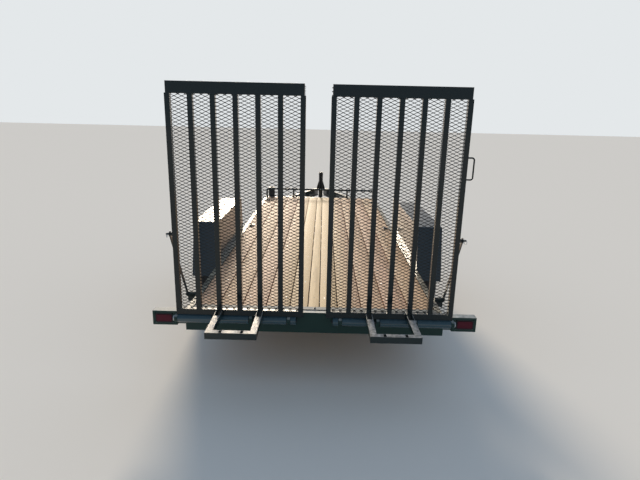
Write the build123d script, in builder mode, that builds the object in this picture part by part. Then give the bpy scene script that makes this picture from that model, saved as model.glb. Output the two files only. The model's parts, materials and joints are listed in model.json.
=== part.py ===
"""Tandem-axle equipment trailer with a timber deck and two stand-up ramp gates.

Frame: +X right, +Y towards the hitch, +Z up. The origin is on the ground under the middle of
the whole trailer. Lengths are millimetres. Places along the trailer are given as a station s,
measured forward from the rear face of the rear sill.
"""
from build123d import *
from math import cos, radians, sin, sqrt, tan
import os

os.makedirs("parts", exist_ok=True)

# Deck and frame
deck_length = 5486
deck_width = 2083
fender_width = 254
deck_top = 600
rail_height = 152
rail_flange = 49
rail_web = 6
rail_lip = 8
toe_radius = 8
sill_height = 175
board_thickness = 38
board_gap = 4
board_bevel = 3
board_play = 3.5
inner_board_widths = (194, 197, 197, 150, 95, 150, 197, 197, 197)
outer_board_shift = 9
crossmember_height = 76
crossmember_flange = 35
crossmember_pitch = 406
retainer_width = 58
retainer_thickness = 5

# Tongue, coupler and jack
tongue_length = 1364
tongue_half_angle = 25
tongue_tip_half = 62
tongue_tip_back = 150
tongue_gap = 2
ball_radius = 29.4
socket_clearance = 0.6
coupler_wall = 22
coupler_height = 58
coupler_taper = 8
coupler_base_half = 74
coupler_base_back = 280
coupler_base_flat = 20
socket_depth_share = 0.7
latch_width = 20
latch_outline = ((-110, -4), (20, -4), (34, 14), (20, 26), (4, 12), (-110, 12))
tongue_plate_thickness = 10
tongue_plate_rear_back = 470
tongue_plate_front_back = 290
jack_back = 400
jack_radius = 41.5
jack_wall = 6.5
jack_slide_clearance = 0.3
jack_bottom = 380
jack_head_height = 363
jack_cap_radius = 45
jack_cap_thickness = 13
jack_gusset_half = 84
jack_gusset_top = 191
jack_gusset_toe = 33
jack_gusset_thickness = 10
jack_weld_depth = 2
jack_leg_overlap = 220
jack_leg_wall = 6
jack_foot_size = (200, 150)
jack_foot_thickness = 12
crank_height = 300
crank_rod_radius = 8
crank_reach = 70
crank_drop = 150
crank_arm_thickness = 8
crank_grip_radius = 10
crank_grip_length = 90
crank_seat_depth = 3

# Front rail and the small box on it
bump_rail_height = 146
bump_rail_radius = 16
bump_rail_inset = 27.5
bump_rail_bend = 50
bump_post_radius = 15
corner_box_size = (109, 80, 166)
corner_box_inset = 84
corner_box_corner = 8
corner_box_edge = 3
corner_box_gap = 0.3

# Fenders
fender_sheet = 4
fender_height = 431
fender_drop = 120
fender_top_length = 1460
fender_end_run = 130
fender_bend = 22
fender_lip = 60
axle_centre_s = 2015

# Axles, springs and wheels
axle_spread = 851
axle_drop = 100
axle_tube_radius = 38
tyre_radius = 391
tyre_width = 222
tyre_bead_radius = 203
tyre_bead_inset = 21
tyre_bead_height = 47
tyre_shoulder_drop = 51
tyre_shoulder_inset = 2
tyre_tread_inset = 33
wheel_gap = 19.5
rim_wall = 6
rim_lip_half = 100
rim_lip_radius = 214
rim_lip_edge = 3.5
rim_lip_flare = 5
rim_well_radius = 178
rim_well_from = -20
rim_well_to = 45
rim_well_ramp = 10
rim_well_shift = 2
rim_disc_thickness = 8
rim_disc_dish = 16
rim_flat_radius = 104
rim_dish_radius = 125
rim_bore_radius = 62
hand_hole_count = 8
hand_hole_radius = 16
hand_hole_circle = 150
drum_radius = 152
drum_depth = 58
hub_radius = 58
hub_flange_radius = 102.5
hub_flange_thickness = 10
hub_pilot_reach = 18
hub_cap_radius = 38
hub_cap_reach = 62
spindle_radius = 22
spindle_back = 30
spindle_end_gap = 6
spindle_clearance = 0.3
backing_plate_radius = 150
backing_plate_thickness = 4
drum_gap = 6
spring_inset = 25.5
spring_width = 44
spring_half_length = 320
spring_arch = 55
leaf_thickness = 8
leaf_count = 4
leaf_step = 70
leaf_first_step = 84
eye_radius = 18
spring_pin_radius = 8
pin_clearance = 0.3
seat_height = 10
seat_length = 80
hanger_plate = 6
hanger_length = 90
hanger_roof = 2
fork_gap = 1
equalizer_radius = 21
bracket_radius = 45
bracket_thickness = 20

# Ramp gates
ramp_inner = 90
ramp_overhang = 52.5
ramp_bar = 38
ramp_bar_count = 7
ramp_height = 1751
ramp_top_member = 84
ramp_top_inset = 9
ramp_rail_height = 50
ramp_rail_top = 32
hinge_back = 55
hinge_drop = 48
barrel_radius = 32.5
hinge_pin_radius = 12.7
hinge_side_gap = 3
inner_barrels = ((56, 100), (130, 320), (430, 665))
last_barrel_start = 725
last_barrel_inset = 11
lug_width = 24
lug_radius = 27
pin_head_radius = 22
pin_head_thickness = 9
mesh_thickness = 3
mesh_inset = 3
mesh_strand = 11
mesh_columns = 6
mesh_rows = 17
foot_reach = 400
foot_leg = 50
foot_sheet = 5
foot_rise = 25
foot_open_length = 100
foot_notch = 20
foot_notch_spread = 156
foot_bars = (3, 5)
brace_gap = 18
brace_clearance = 5
brace_thickness = 8
brace_width = 30
brace_eye_radius = 22
brace_top_height = 636
brace_top_back = 35
brace_foot_s = 350
brace_sleeve_radius = 14
brace_pull_radius = 7
brace_pull_reach = 26
brace_pin_radius = 10
brace_pin_head_radius = 16
brace_pin_head_thickness = 6
brace_boss_radius = 20
brace_boss_foot = 60
brace_boss_gap = 1
handle_low = 1101
handle_high = 1261
handle_reach = 55
handle_rod_radius = 6
handle_bend = 18

# Tail lamps
lamp_box_gap = 6
lamp_box_height = 120
lamp_box_rear = 30
lamp_box_front = 40
lamp_recess = 14
lamp_size = (122, 60)
lamp_depth = 20
lamp_edge = 8
lamp_margin = 30
lamp_socket_margin = 12

# Tie-down rings
ring_backs = (2496, 476)
ring_inset = 101.5
ring_radius = 32
ring_rod_radius = 6
ring_plate_size = (70, 60)
ring_plate_thickness = 5
ring_clip_size = (30, 24, 15)

# Worked out from the sizes above
rear_y = (hinge_back + foot_reach - deck_length - tongue_length) / 2
half_deck = deck_width / 2
half_overall = half_deck + fender_width
wheel_centre_x = half_deck + wheel_gap + tyre_width / 2
spring_x = half_deck - spring_inset
ramp_outer = half_deck + ramp_overhang
lamp_box_inner = ramp_outer + lamp_box_gap
lamp_x = half_overall - lamp_margin - lamp_size[0] / 2
bump_rail_half = half_deck - bump_rail_inset
corner_box_x = corner_box_inset - bump_rail_half
ring_x = half_deck - ring_inset
axis_s = -hinge_back
axis_z = deck_top - hinge_drop
bar_rear_s = axis_s - 1
bar_front_s = bar_rear_s + ramp_bar
bar_pitch = (ramp_outer - ramp_inner - ramp_bar) / (ramp_bar_count - 1)
axle_z = tyre_radius
tube_z = axle_z - axle_drop
spring_seat_z = tube_z + axle_tube_radius + seat_height
main_leaf_z = spring_seat_z + leaf_thickness * (leaf_count - 0.5)
eye_z = main_leaf_z + spring_arch
nose_s = deck_length + tongue_length
jack_s = nose_s - jack_back
brace_x = ramp_outer + brace_gap

# Hinge barrels and the lugs between and beside them, as (from, to) outwards from the middle
barrel_spans = [(ramp_inner + start, ramp_inner + end) for start, end in inner_barrels]
barrel_spans.append((ramp_inner + last_barrel_start, ramp_outer - last_barrel_inset))
lug_spans = (
    (barrel_spans[0][1] + hinge_side_gap, barrel_spans[1][0] - hinge_side_gap),
    (barrel_spans[1][1] + hinge_side_gap, barrel_spans[1][1] + hinge_side_gap + lug_width),
    (barrel_spans[2][0] - hinge_side_gap - lug_width, barrel_spans[2][0] - hinge_side_gap),
    (barrel_spans[2][1] + hinge_side_gap, barrel_spans[3][0] - hinge_side_gap),
    (barrel_spans[3][1] + hinge_side_gap, barrel_spans[3][1] + hinge_side_gap + lug_width),
)


def at(s):
    """Y of a station along the trailer."""
    return rear_y + s


def write_part(part, name):
    """Label a finished piece and write its file."""
    part.label = name
    export_step(part, f"parts/{name}.step")


def channel_bar(back, inward, along, height, flange, length):
    """Rolled channel. Back is the middle of its outer face at the start of its run."""
    with BuildPart() as bar:
        with BuildSketch(Plane(back, x_dir=inward, z_dir=along)):
            Rectangle(flange, height, align=(Align.MIN, Align.CENTER))
            with Locations((flange, 0)):
                RectangleRounded(
                    2 * (flange - rail_web), height - 2 * rail_lip, toe_radius, mode=Mode.SUBTRACT
                )
        extrude(amount=length)
    return bar.part


# Main frame: two side rails between a rear and a front sill
for side, name in ((-1, "left"), (1, "right")):
    with BuildPart() as side_rail:
        back = (side * half_deck, at(rail_flange), deck_top - rail_height / 2)
        rail_length = deck_length - 2 * rail_flange
        add(channel_bar(back, (-side, 0, 0), (0, 1, 0), rail_height, rail_flange, rail_length))
        # Boss with a foot on the rail's web, and the headed pin that carries the ramp's brace
        web = Plane((side * half_deck, at(brace_foot_s), deck_top), x_dir=(0, side, 0), z_dir=(side, 0, 0))
        with BuildSketch(web):
            Circle(brace_boss_radius)
            Rectangle(2 * brace_boss_radius, brace_boss_foot, align=(Align.CENTER, Align.MAX))
        extrude(amount=brace_x - brace_boss_gap - half_deck)
        pin_end = brace_x + brace_thickness + hinge_side_gap
        with BuildSketch(web):
            Circle(brace_pin_radius)
        extrude(amount=pin_end - half_deck)
        with BuildSketch(web.offset(pin_end - half_deck)):
            Circle(brace_pin_head_radius)
        extrude(amount=brace_pin_head_thickness)
    write_part(side_rail.part, f"side_rail_{name}")

with BuildPart() as rear_sill:
    back = (-half_deck, at(0), deck_top - sill_height / 2)
    add(channel_bar(back, (0, 1, 0), (1, 0, 0), sill_height, rail_flange, deck_width))
    # Hinge lugs: plates with a round end about the hinge pin
    for side in (-1, 1):
        for inner, outer in lug_spans:
            with BuildSketch(Plane((side * inner, at(axis_s), axis_z), x_dir=(0, 1, 0), z_dir=(side, 0, 0))):
                Circle(lug_radius)
                Rectangle(hinge_back, 2 * lug_radius, align=(Align.MIN, Align.CENTER))
                Circle(hinge_pin_radius + pin_clearance, mode=Mode.SUBTRACT)
            extrude(amount=outer - inner)
        # Lamp box, joined to the rail by a short stub ahead of the ramp's side
        width = half_overall - lamp_box_inner
        box_z = deck_top - lamp_box_height / 2
        centre = (side * (lamp_box_inner + width / 2), at(-lamp_box_rear), box_z)
        with BuildSketch(Plane(centre, x_dir=(1, 0, 0), z_dir=(0, 1, 0))):
            Rectangle(width, lamp_box_height)
        extrude(amount=lamp_box_rear + lamp_box_front)
        socket = (side * lamp_x, at(-lamp_box_rear), box_z)
        with BuildSketch(Plane(socket, x_dir=(1, 0, 0), z_dir=(0, 1, 0))):
            Rectangle(lamp_size[0] + 2 * lamp_socket_margin, lamp_size[1] + 2 * lamp_socket_margin)
        extrude(amount=lamp_recess, mode=Mode.SUBTRACT)
        stub_centre = (side * (half_deck + lamp_box_inner) / 2, at(0), box_z)
        with BuildSketch(Plane(stub_centre, x_dir=(1, 0, 0), z_dir=(0, 1, 0))):
            Rectangle(lamp_box_inner - half_deck, lamp_box_height)
        extrude(amount=lamp_box_front)
write_part(rear_sill.part, "rear_sill")

with BuildPart() as front_sill:
    back = (-half_deck, at(deck_length), deck_top - rail_height / 2)
    add(channel_bar(back, (0, -1, 0), (1, 0, 0), rail_height, rail_flange, deck_width))
write_part(front_sill.part, "front_sill")

# Crossmembers between the rails' webs, under the boards
crossmember_z = deck_top - board_thickness - crossmember_height / 2
crossmember_count = int((deck_length - crossmember_pitch / 2) // crossmember_pitch)
first_crossmember = (deck_length - (crossmember_count - 1) * crossmember_pitch) / 2
crossmember_half = half_deck - rail_web
with BuildPart() as crossmembers:
    for k in range(crossmember_count):
        back = (-crossmember_half, at(first_crossmember + k * crossmember_pitch), crossmember_z)
        width = 2 * crossmember_half
        add(channel_bar(back, (0, 1, 0), (1, 0, 0), crossmember_height, crossmember_flange, width))
write_part(crossmembers.part, "crossmembers")

# Treated boards that run lengthwise between the rails' flanges
board_start = rail_flange + board_play
board_length = deck_length - 2 * board_start
board_left = rail_flange + board_play - half_deck
outer_board = (-2 * board_left - sum(inner_board_widths)) / 2
board_widths = (outer_board - outer_board_shift, *inner_board_widths, outer_board + outer_board_shift)
with BuildPart() as deck_boards:
    left = board_left
    for width in board_widths:
        middle = (left + width / 2, at(board_start), deck_top - board_thickness / 2)
        with BuildSketch(Plane(middle, x_dir=(1, 0, 0), z_dir=(0, 1, 0))) as board:
            Rectangle(width - board_gap, board_thickness)
            chamfer(board.vertices().group_by(Axis.Z)[-1], board_bevel)
        extrude(amount=board_length)
        left += width
write_part(deck_boards.part, "deck_boards")

with BuildPart() as board_retainer:
    strip = (0, at(board_start + retainer_width / 2), deck_top)
    with BuildSketch(Plane(strip)):
        Rectangle(2 * (half_deck - rail_flange), retainer_width)
    extrude(amount=retainer_thickness)
write_part(board_retainer.part, "board_retainer")

# Tongue: two channels that run from the front sill to the coupler
tongue_tip_s = nose_s - tongue_tip_back
tongue_run = tongue_tip_s - deck_length
lean = radians(tongue_half_angle)
over_run = rail_flange
for side, name in ((-1, "left"), (1, "right")):
    with BuildPart() as tongue_beam:
        start = (
            side * (tongue_tip_half + (tongue_run + over_run) * tan(lean)),
            at(deck_length - over_run),
            deck_top - rail_height / 2,
        )
        inward = (-side * cos(lean), -sin(lean), 0)
        along = (-side * sin(lean), cos(lean), 0)
        length = (tongue_run + 2 * over_run) / cos(lean)
        add(channel_bar(start, inward, along, rail_height, rail_flange, length))
        split(bisect_by=Plane((0, at(deck_length), 0), z_dir=(0, 1, 0)), keep=Keep.TOP)
        split(bisect_by=Plane((0, at(tongue_tip_s), 0), z_dir=(0, -1, 0)), keep=Keep.TOP)
        split(bisect_by=Plane((side * tongue_gap / 2, 0, 0), z_dir=(side, 0, 0)), keep=Keep.TOP)
    write_part(tongue_beam.part, f"tongue_{name}")


def tongue_half_width(s):
    """Half the tongue's outer width at a station ahead of the deck."""
    return tongue_tip_half + (tongue_tip_s - s) * tan(lean)


with BuildPart() as tongue_plate:
    rear_s = nose_s - tongue_plate_rear_back
    front_s = nose_s - tongue_plate_front_back
    with BuildSketch(Plane.XY.offset(deck_top)):
        with BuildLine():
            Polyline(
                (-tongue_half_width(rear_s), at(rear_s)),
                (tongue_half_width(rear_s), at(rear_s)),
                (tongue_half_width(front_s), at(front_s)),
                (-tongue_half_width(front_s), at(front_s)),
                close=True,
            )
        make_face()
        with Locations((0, at(jack_s))):
            Circle(jack_radius + pin_clearance, mode=Mode.SUBTRACT)
    extrude(amount=tongue_plate_thickness)
write_part(tongue_plate.part, "tongue_plate")

# Coupler: a tapered pressing with a ball socket that opens downwards
socket_radius = ball_radius + socket_clearance
nose_radius = socket_radius + coupler_wall
ball_y = at(nose_s - nose_radius)
with BuildPart() as coupler:
    with BuildSketch(Plane.XY.offset(deck_top)):
        with Locations((0, ball_y)):
            Circle(nose_radius)
        with Locations((0, at(nose_s - coupler_base_back))):
            Rectangle(2 * coupler_base_half, coupler_base_flat, align=(Align.CENTER, Align.MIN))
        make_hull()
    extrude(amount=coupler_height, taper=coupler_taper)
    socket_depth = socket_radius * socket_depth_share
    with Locations((0, ball_y, deck_top + socket_depth)):
        Sphere(socket_radius, mode=Mode.SUBTRACT)
    with BuildSketch(Plane.XY.offset(deck_top)):
        with Locations((0, ball_y)):
            Circle(socket_radius)
    extrude(amount=socket_depth, mode=Mode.SUBTRACT)
    # Latch lever on the back of the socket
    latch = (-latch_width / 2, ball_y - nose_radius, deck_top + coupler_height)
    with BuildSketch(Plane(latch, x_dir=(0, 1, 0), z_dir=(1, 0, 0))):
        with BuildLine():
            Polyline(*latch_outline, close=True)
        make_face()
    extrude(amount=latch_width)
write_part(coupler.part, "coupler")

# Drop jack: outer tube with a cap, side gussets and a fixed crank
jack_y = at(jack_s)
jack_top = deck_top + jack_head_height
with BuildPart() as jack_housing:
    with BuildSketch(Plane((0, jack_y, jack_bottom))):
        Circle(jack_radius)
        Circle(jack_radius - jack_wall, mode=Mode.SUBTRACT)
    extrude(amount=jack_top - jack_cap_thickness - jack_bottom)
    with BuildSketch(Plane((0, jack_y, jack_top - jack_cap_thickness))):
        Circle(jack_cap_radius)
    extrude(amount=jack_cap_thickness)
    plate_top = deck_top + tongue_plate_thickness
    gusset_inner = jack_radius - jack_weld_depth
    for side in (-1, 1):
        plane = Plane((0, jack_y + jack_gusset_thickness / 2, 0), x_dir=(1, 0, 0), z_dir=(0, -1, 0))
        with BuildSketch(plane):
            with BuildLine():
                Polyline(
                    (side * gusset_inner, plate_top),
                    (side * jack_gusset_half, plate_top),
                    (side * jack_gusset_half, plate_top + jack_gusset_toe),
                    (side * gusset_inner, deck_top + jack_gusset_top),
                    close=True,
                )
            make_face()
        extrude(amount=jack_gusset_thickness)
    # Crank shaft ahead of the tube, its arm and its grip
    crank_z = deck_top + crank_height
    crank_y = jack_y + jack_radius - crank_seat_depth
    with BuildSketch(Plane((0, crank_y, crank_z), z_dir=(0, 1, 0))):
        Circle(crank_rod_radius)
    extrude(amount=crank_reach)
    with BuildSketch(Plane((0, crank_y + crank_reach, crank_z), x_dir=(1, 0, 0), z_dir=(0, 1, 0))):
        with Locations((0, crank_drop / 2)):
            SlotCenterToCenter(crank_drop, 3 * crank_rod_radius, rotation=90)
    extrude(amount=crank_arm_thickness)
    with BuildSketch(Plane((0, crank_y + crank_reach, crank_z - crank_drop), z_dir=(0, 1, 0))):
        Circle(crank_grip_radius)
    extrude(amount=crank_grip_length)
write_part(jack_housing.part, "jack_housing")

leg_radius = jack_radius - jack_wall - jack_slide_clearance
with BuildPart() as jack_leg:
    Box(*jack_foot_size, jack_foot_thickness, align=(Align.CENTER, Align.CENTER, Align.MIN))
    with BuildSketch(Plane.XY.offset(jack_foot_thickness)):
        Circle(leg_radius)
        Circle(leg_radius - jack_leg_wall, mode=Mode.SUBTRACT)
    extrude(amount=jack_bottom + jack_leg_overlap - jack_foot_thickness)
write_part(jack_leg.part.moved(Location((0, jack_y, 0))), "jack_leg")

# Front bump rail: one bent tube with three inner posts
bump_y = at(deck_length - rail_flange / 2)
with BuildPart() as bump_rail:
    rail_z = deck_top + bump_rail_height
    bend_z = rail_z - bump_rail_bend
    bend_x = bump_rail_half - bump_rail_bend
    for side in (-1, 1):
        with BuildSketch(Plane((side * bump_rail_half, bump_y, deck_top))):
            Circle(bump_rail_radius)
        extrude(amount=bump_rail_height - bump_rail_bend)
        with BuildSketch(Plane((side * bump_rail_half, bump_y, bend_z))):
            Circle(bump_rail_radius)
        revolve(axis=Axis((side * bend_x, bump_y, bend_z), (0, -side, 0)), revolution_arc=90)
    with BuildSketch(Plane((-bend_x, bump_y, rail_z), z_dir=(1, 0, 0))):
        Circle(bump_rail_radius)
    extrude(amount=2 * bend_x)
    for x in (-bump_rail_half / 2, 0, bump_rail_half / 2):
        with BuildSketch(Plane((x, bump_y, deck_top))):
            Circle(bump_post_radius)
        extrude(amount=bump_rail_height)
write_part(bump_rail.part, "bump_rail")

with BuildPart() as corner_box:
    box_y = bump_y + bump_rail_radius + corner_box_size[1] / 2 + corner_box_gap
    with Locations((corner_box_x, box_y, deck_top)):
        Box(*corner_box_size, align=(Align.CENTER, Align.CENTER, Align.MIN))
    fillet(corner_box.edges().filter_by(Axis.Z), corner_box_corner)
    lid_face = corner_box.faces().sort_by(Axis.Z)[-1]
    chamfer(lid_face.edges(), corner_box_edge)
write_part(corner_box.part, "corner_box")

# Fenders: bent sheet with a full inner wall, two steep ends and an outer lip
fender_top = deck_top + fender_height
fender_bottom = deck_top - fender_drop
half_top = fender_top_length / 2
half_base = half_top + fender_end_run
for side, name in ((-1, "left"), (1, "right")):
    with BuildPart() as fender:
        inner_plane = Plane((side * half_deck, at(axle_centre_s), 0), x_dir=(0, 1, 0), z_dir=(side, 0, 0))
        outline = (
            (-half_base, fender_bottom),
            (-half_top, fender_top),
            (half_top, fender_top),
            (half_base, fender_bottom),
        )
        with BuildSketch(inner_plane):
            with BuildLine():
                Polyline(*[(y, side * z) for y, z in outline], close=True)
            make_face()
        extrude(amount=fender_width)
        bends = fender.edges().filter_by(Axis.X).group_by(Axis.Z)[-1]
        fillet(bends, fender_bend)
        floor = fender.faces().sort_by(Axis.Z)[0]
        offset(amount=-fender_sheet, openings=floor)
        # The outer wall is only a lip along the ends and the top
        outer_plane = Plane((side * half_overall, at(axle_centre_s), 0), x_dir=(0, 1, 0), z_dir=(-side, 0, 0))
        slope = fender_end_run / (fender_height + fender_drop)
        lip_top = fender_top - fender_lip
        lip_half = half_top - fender_lip + slope * fender_lip
        low_half = half_base - fender_lip
        window = (
            (-low_half - slope, fender_bottom - 1),
            (-lip_half, lip_top),
            (lip_half, lip_top),
            (low_half + slope, fender_bottom - 1),
        )
        with BuildSketch(outer_plane):
            with BuildLine():
                Polyline(*[(y, -side * z) for y, z in window], close=True)
            make_face()
        extrude(amount=fender_sheet + 1, mode=Mode.SUBTRACT)
    write_part(fender.part, f"fender_{name}")

# Tail lamps in the pockets of the lamp boxes
with BuildPart() as tail_lamps:
    for side in (-1, 1):
        lamp_front = at(-lamp_box_rear + lamp_recess)
        with Locations((side * lamp_x, lamp_front - lamp_depth / 2, deck_top - lamp_box_height / 2)):
            Box(lamp_size[0], lamp_depth, lamp_size[1])
    fillet(tail_lamps.edges().filter_by(Axis.Y), lamp_edge)
write_part(tail_lamps.part, "tail_lamps")

# Two hinge pins with heads at their outer ends
with BuildPart() as hinge_pins:
    for side in (-1, 1):
        inner = barrel_spans[0][0] - pin_head_thickness
        outer = lug_spans[-1][1]
        with BuildSketch(Plane((side * inner, at(axis_s), axis_z), z_dir=(side, 0, 0))):
            Circle(hinge_pin_radius)
        extrude(amount=outer - inner)
        with BuildSketch(Plane((side * outer, at(axis_s), axis_z), z_dir=(side, 0, 0))):
            Circle(pin_head_radius)
        extrude(amount=pin_head_thickness)
write_part(hinge_pins.part, "hinge_pins")

# Drop axles: tube, spring seats, upright brackets, spindles and brake backing plates
axle_half = spring_x + spring_width / 2 + hanger_plate
spindle_end = wheel_centre_x + hub_cap_reach - spindle_back
for k, name in ((-1, "rear"), (1, "front")):
    axle_y = at(axle_centre_s + k * axle_spread / 2)
    with BuildPart() as axle:
        with BuildSketch(Plane((-axle_half, axle_y, tube_z), z_dir=(1, 0, 0))):
            Circle(axle_tube_radius)
        extrude(amount=2 * axle_half)
        for side in (-1, 1):
            seat_base = tube_z + axle_tube_radius / 2
            with BuildSketch(Plane((side * spring_x, axle_y, seat_base))):
                Rectangle(spring_width, seat_length)
            extrude(amount=spring_seat_z - seat_base)
            with BuildSketch(Plane((side * axle_half, axle_y, 0), x_dir=(0, 1, 0), z_dir=(side, 0, 0))):
                with Locations((0, side * (tube_z + axle_z) / 2)):
                    SlotCenterToCenter(axle_drop, 2 * bracket_radius, rotation=90)
            extrude(amount=bracket_thickness)
            plate_x = axle_half + bracket_thickness
            with BuildSketch(Plane((side * plate_x, axle_y, axle_z), z_dir=(side, 0, 0))):
                Circle(backing_plate_radius)
            extrude(amount=backing_plate_thickness)
            with BuildSketch(Plane((side * plate_x, axle_y, axle_z), z_dir=(side, 0, 0))):
                Circle(spindle_radius)
            extrude(amount=spindle_end - plate_x)
    write_part(axle.part, f"axle_{name}")

# Leaf springs: the top leaf has an eye at each end, the lower leaves step shorter
arc_radius = (spring_half_length**2 + spring_arch**2) / (2 * spring_arch)
with BuildPart() as leaf_springs:
    for side in (-1, 1):
        for k in (-1, 1):
            spring_y = at(axle_centre_s + k * axle_spread / 2)
            start = Plane(
                (side * spring_x - spring_width / 2, spring_y, main_leaf_z), x_dir=(0, 1, 0), z_dir=(1, 0, 0)
            )
            for leaf in range(leaf_count):
                radius = arc_radius + leaf * leaf_thickness
                half_length = spring_half_length
                if leaf:
                    half_length -= leaf_first_step + (leaf - 1) * leaf_step
                with BuildSketch(start):
                    with Locations((0, arc_radius)):
                        Circle(radius + leaf_thickness / 2)
                        Circle(radius - leaf_thickness / 2, mode=Mode.SUBTRACT)
                    Rectangle(2 * half_length, 4 * spring_arch, mode=Mode.INTERSECT)
                    if leaf == 0:
                        with Locations((-spring_half_length, spring_arch), (spring_half_length, spring_arch)):
                            Circle(eye_radius)
                            Circle(spring_pin_radius + pin_clearance, mode=Mode.SUBTRACT)
                extrude(amount=spring_width)
write_part(leaf_springs.part, "leaf_springs")

# Spring hangers under the rails: a fork with a pin at each outer eye and at the equalizer
rail_bottom = deck_top - rail_height
outer_eye = axle_spread / 2 + spring_half_length
inner_eye = axle_spread / 2 - spring_half_length
fork_inner = spring_width / 2 + fork_gap
centre_fork_inner = fork_inner + hanger_plate + fork_gap
with BuildPart() as spring_hangers:
    for side in (-1, 1):
        for offset_y, fork in ((-outer_eye, fork_inner), (0, centre_fork_inner), (outer_eye, fork_inner)):
            hanger_y = at(axle_centre_s + offset_y)
            half_fork = fork + hanger_plate
            depth = rail_bottom - eye_z + eye_radius
            with Locations((side * spring_x, hanger_y, rail_bottom)):
                Box(2 * half_fork, hanger_length, depth, align=(Align.CENTER, Align.CENTER, Align.MAX))
            with Locations((side * spring_x, hanger_y, rail_bottom - hanger_roof)):
                Box(
                    2 * fork, hanger_length, depth, mode=Mode.SUBTRACT,
                    align=(Align.CENTER, Align.CENTER, Align.MAX),
                )
            pin_start = Plane((side * spring_x - half_fork, hanger_y, eye_z), z_dir=(1, 0, 0))
            with BuildSketch(pin_start):
                Circle(spring_pin_radius)
            extrude(amount=2 * half_fork)
write_part(spring_hangers.part, "spring_hangers")

# Equalizers: two side plates that rock on the centre hanger's pin and carry the inner eyes
with BuildPart() as equalizers:
    for side in (-1, 1):
        for start in (side * spring_x - fork_inner - hanger_plate, side * spring_x + fork_inner):
            with BuildSketch(Plane((start, at(axle_centre_s), eye_z), x_dir=(0, 1, 0), z_dir=(1, 0, 0))):
                SlotCenterToCenter(2 * inner_eye, 2 * equalizer_radius)
                Circle(spring_pin_radius + pin_clearance, mode=Mode.SUBTRACT)
            extrude(amount=hanger_plate)
        sleeve = Plane((side * spring_x - fork_inner, at(axle_centre_s), eye_z), z_dir=(1, 0, 0))
        with BuildSketch(sleeve):
            Circle(eye_radius)
            Circle(spring_pin_radius + pin_clearance, mode=Mode.SUBTRACT)
        extrude(amount=2 * fork_inner)
        for offset_y in (-inner_eye, inner_eye):
            eye = (side * spring_x - fork_inner, at(axle_centre_s + offset_y), eye_z)
            with BuildSketch(Plane(eye, z_dir=(1, 0, 0))):
                Circle(spring_pin_radius)
            extrude(amount=2 * fork_inner)
write_part(equalizers.part, "equalizers")

# Tie-down rings on the boards beside the rails
with BuildPart() as tie_rings:
    for side in (-1, 1):
        for back in ring_backs:
            s = deck_length - back
            with Locations((side * ring_x, at(s), deck_top)):
                Box(*ring_plate_size, ring_plate_thickness, align=(Align.CENTER, Align.MIN, Align.MIN))
            ring_z = deck_top + ring_plate_thickness + ring_rod_radius
            with Locations((side * ring_x, at(s) - ring_radius + ring_rod_radius, ring_z)):
                Torus(ring_radius, ring_rod_radius)
            with Locations((side * ring_x, at(s) + ring_rod_radius, ring_z - ring_rod_radius)):
                Box(*ring_clip_size, align=(Align.CENTER, Align.CENTER, Align.MIN))
write_part(tie_rings.part, "tie_rings")


# Wheels, each of a tyre, a rim and a hub with its drum
def wheel_profile_plane(side, centre_y):
    """Sketch plane through a wheel's axis: x runs outwards along the axle, y is radial."""
    return Plane((side * wheel_centre_x, centre_y, axle_z), x_dir=(side, 0, 0), z_dir=(0, -side, 0))


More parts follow.
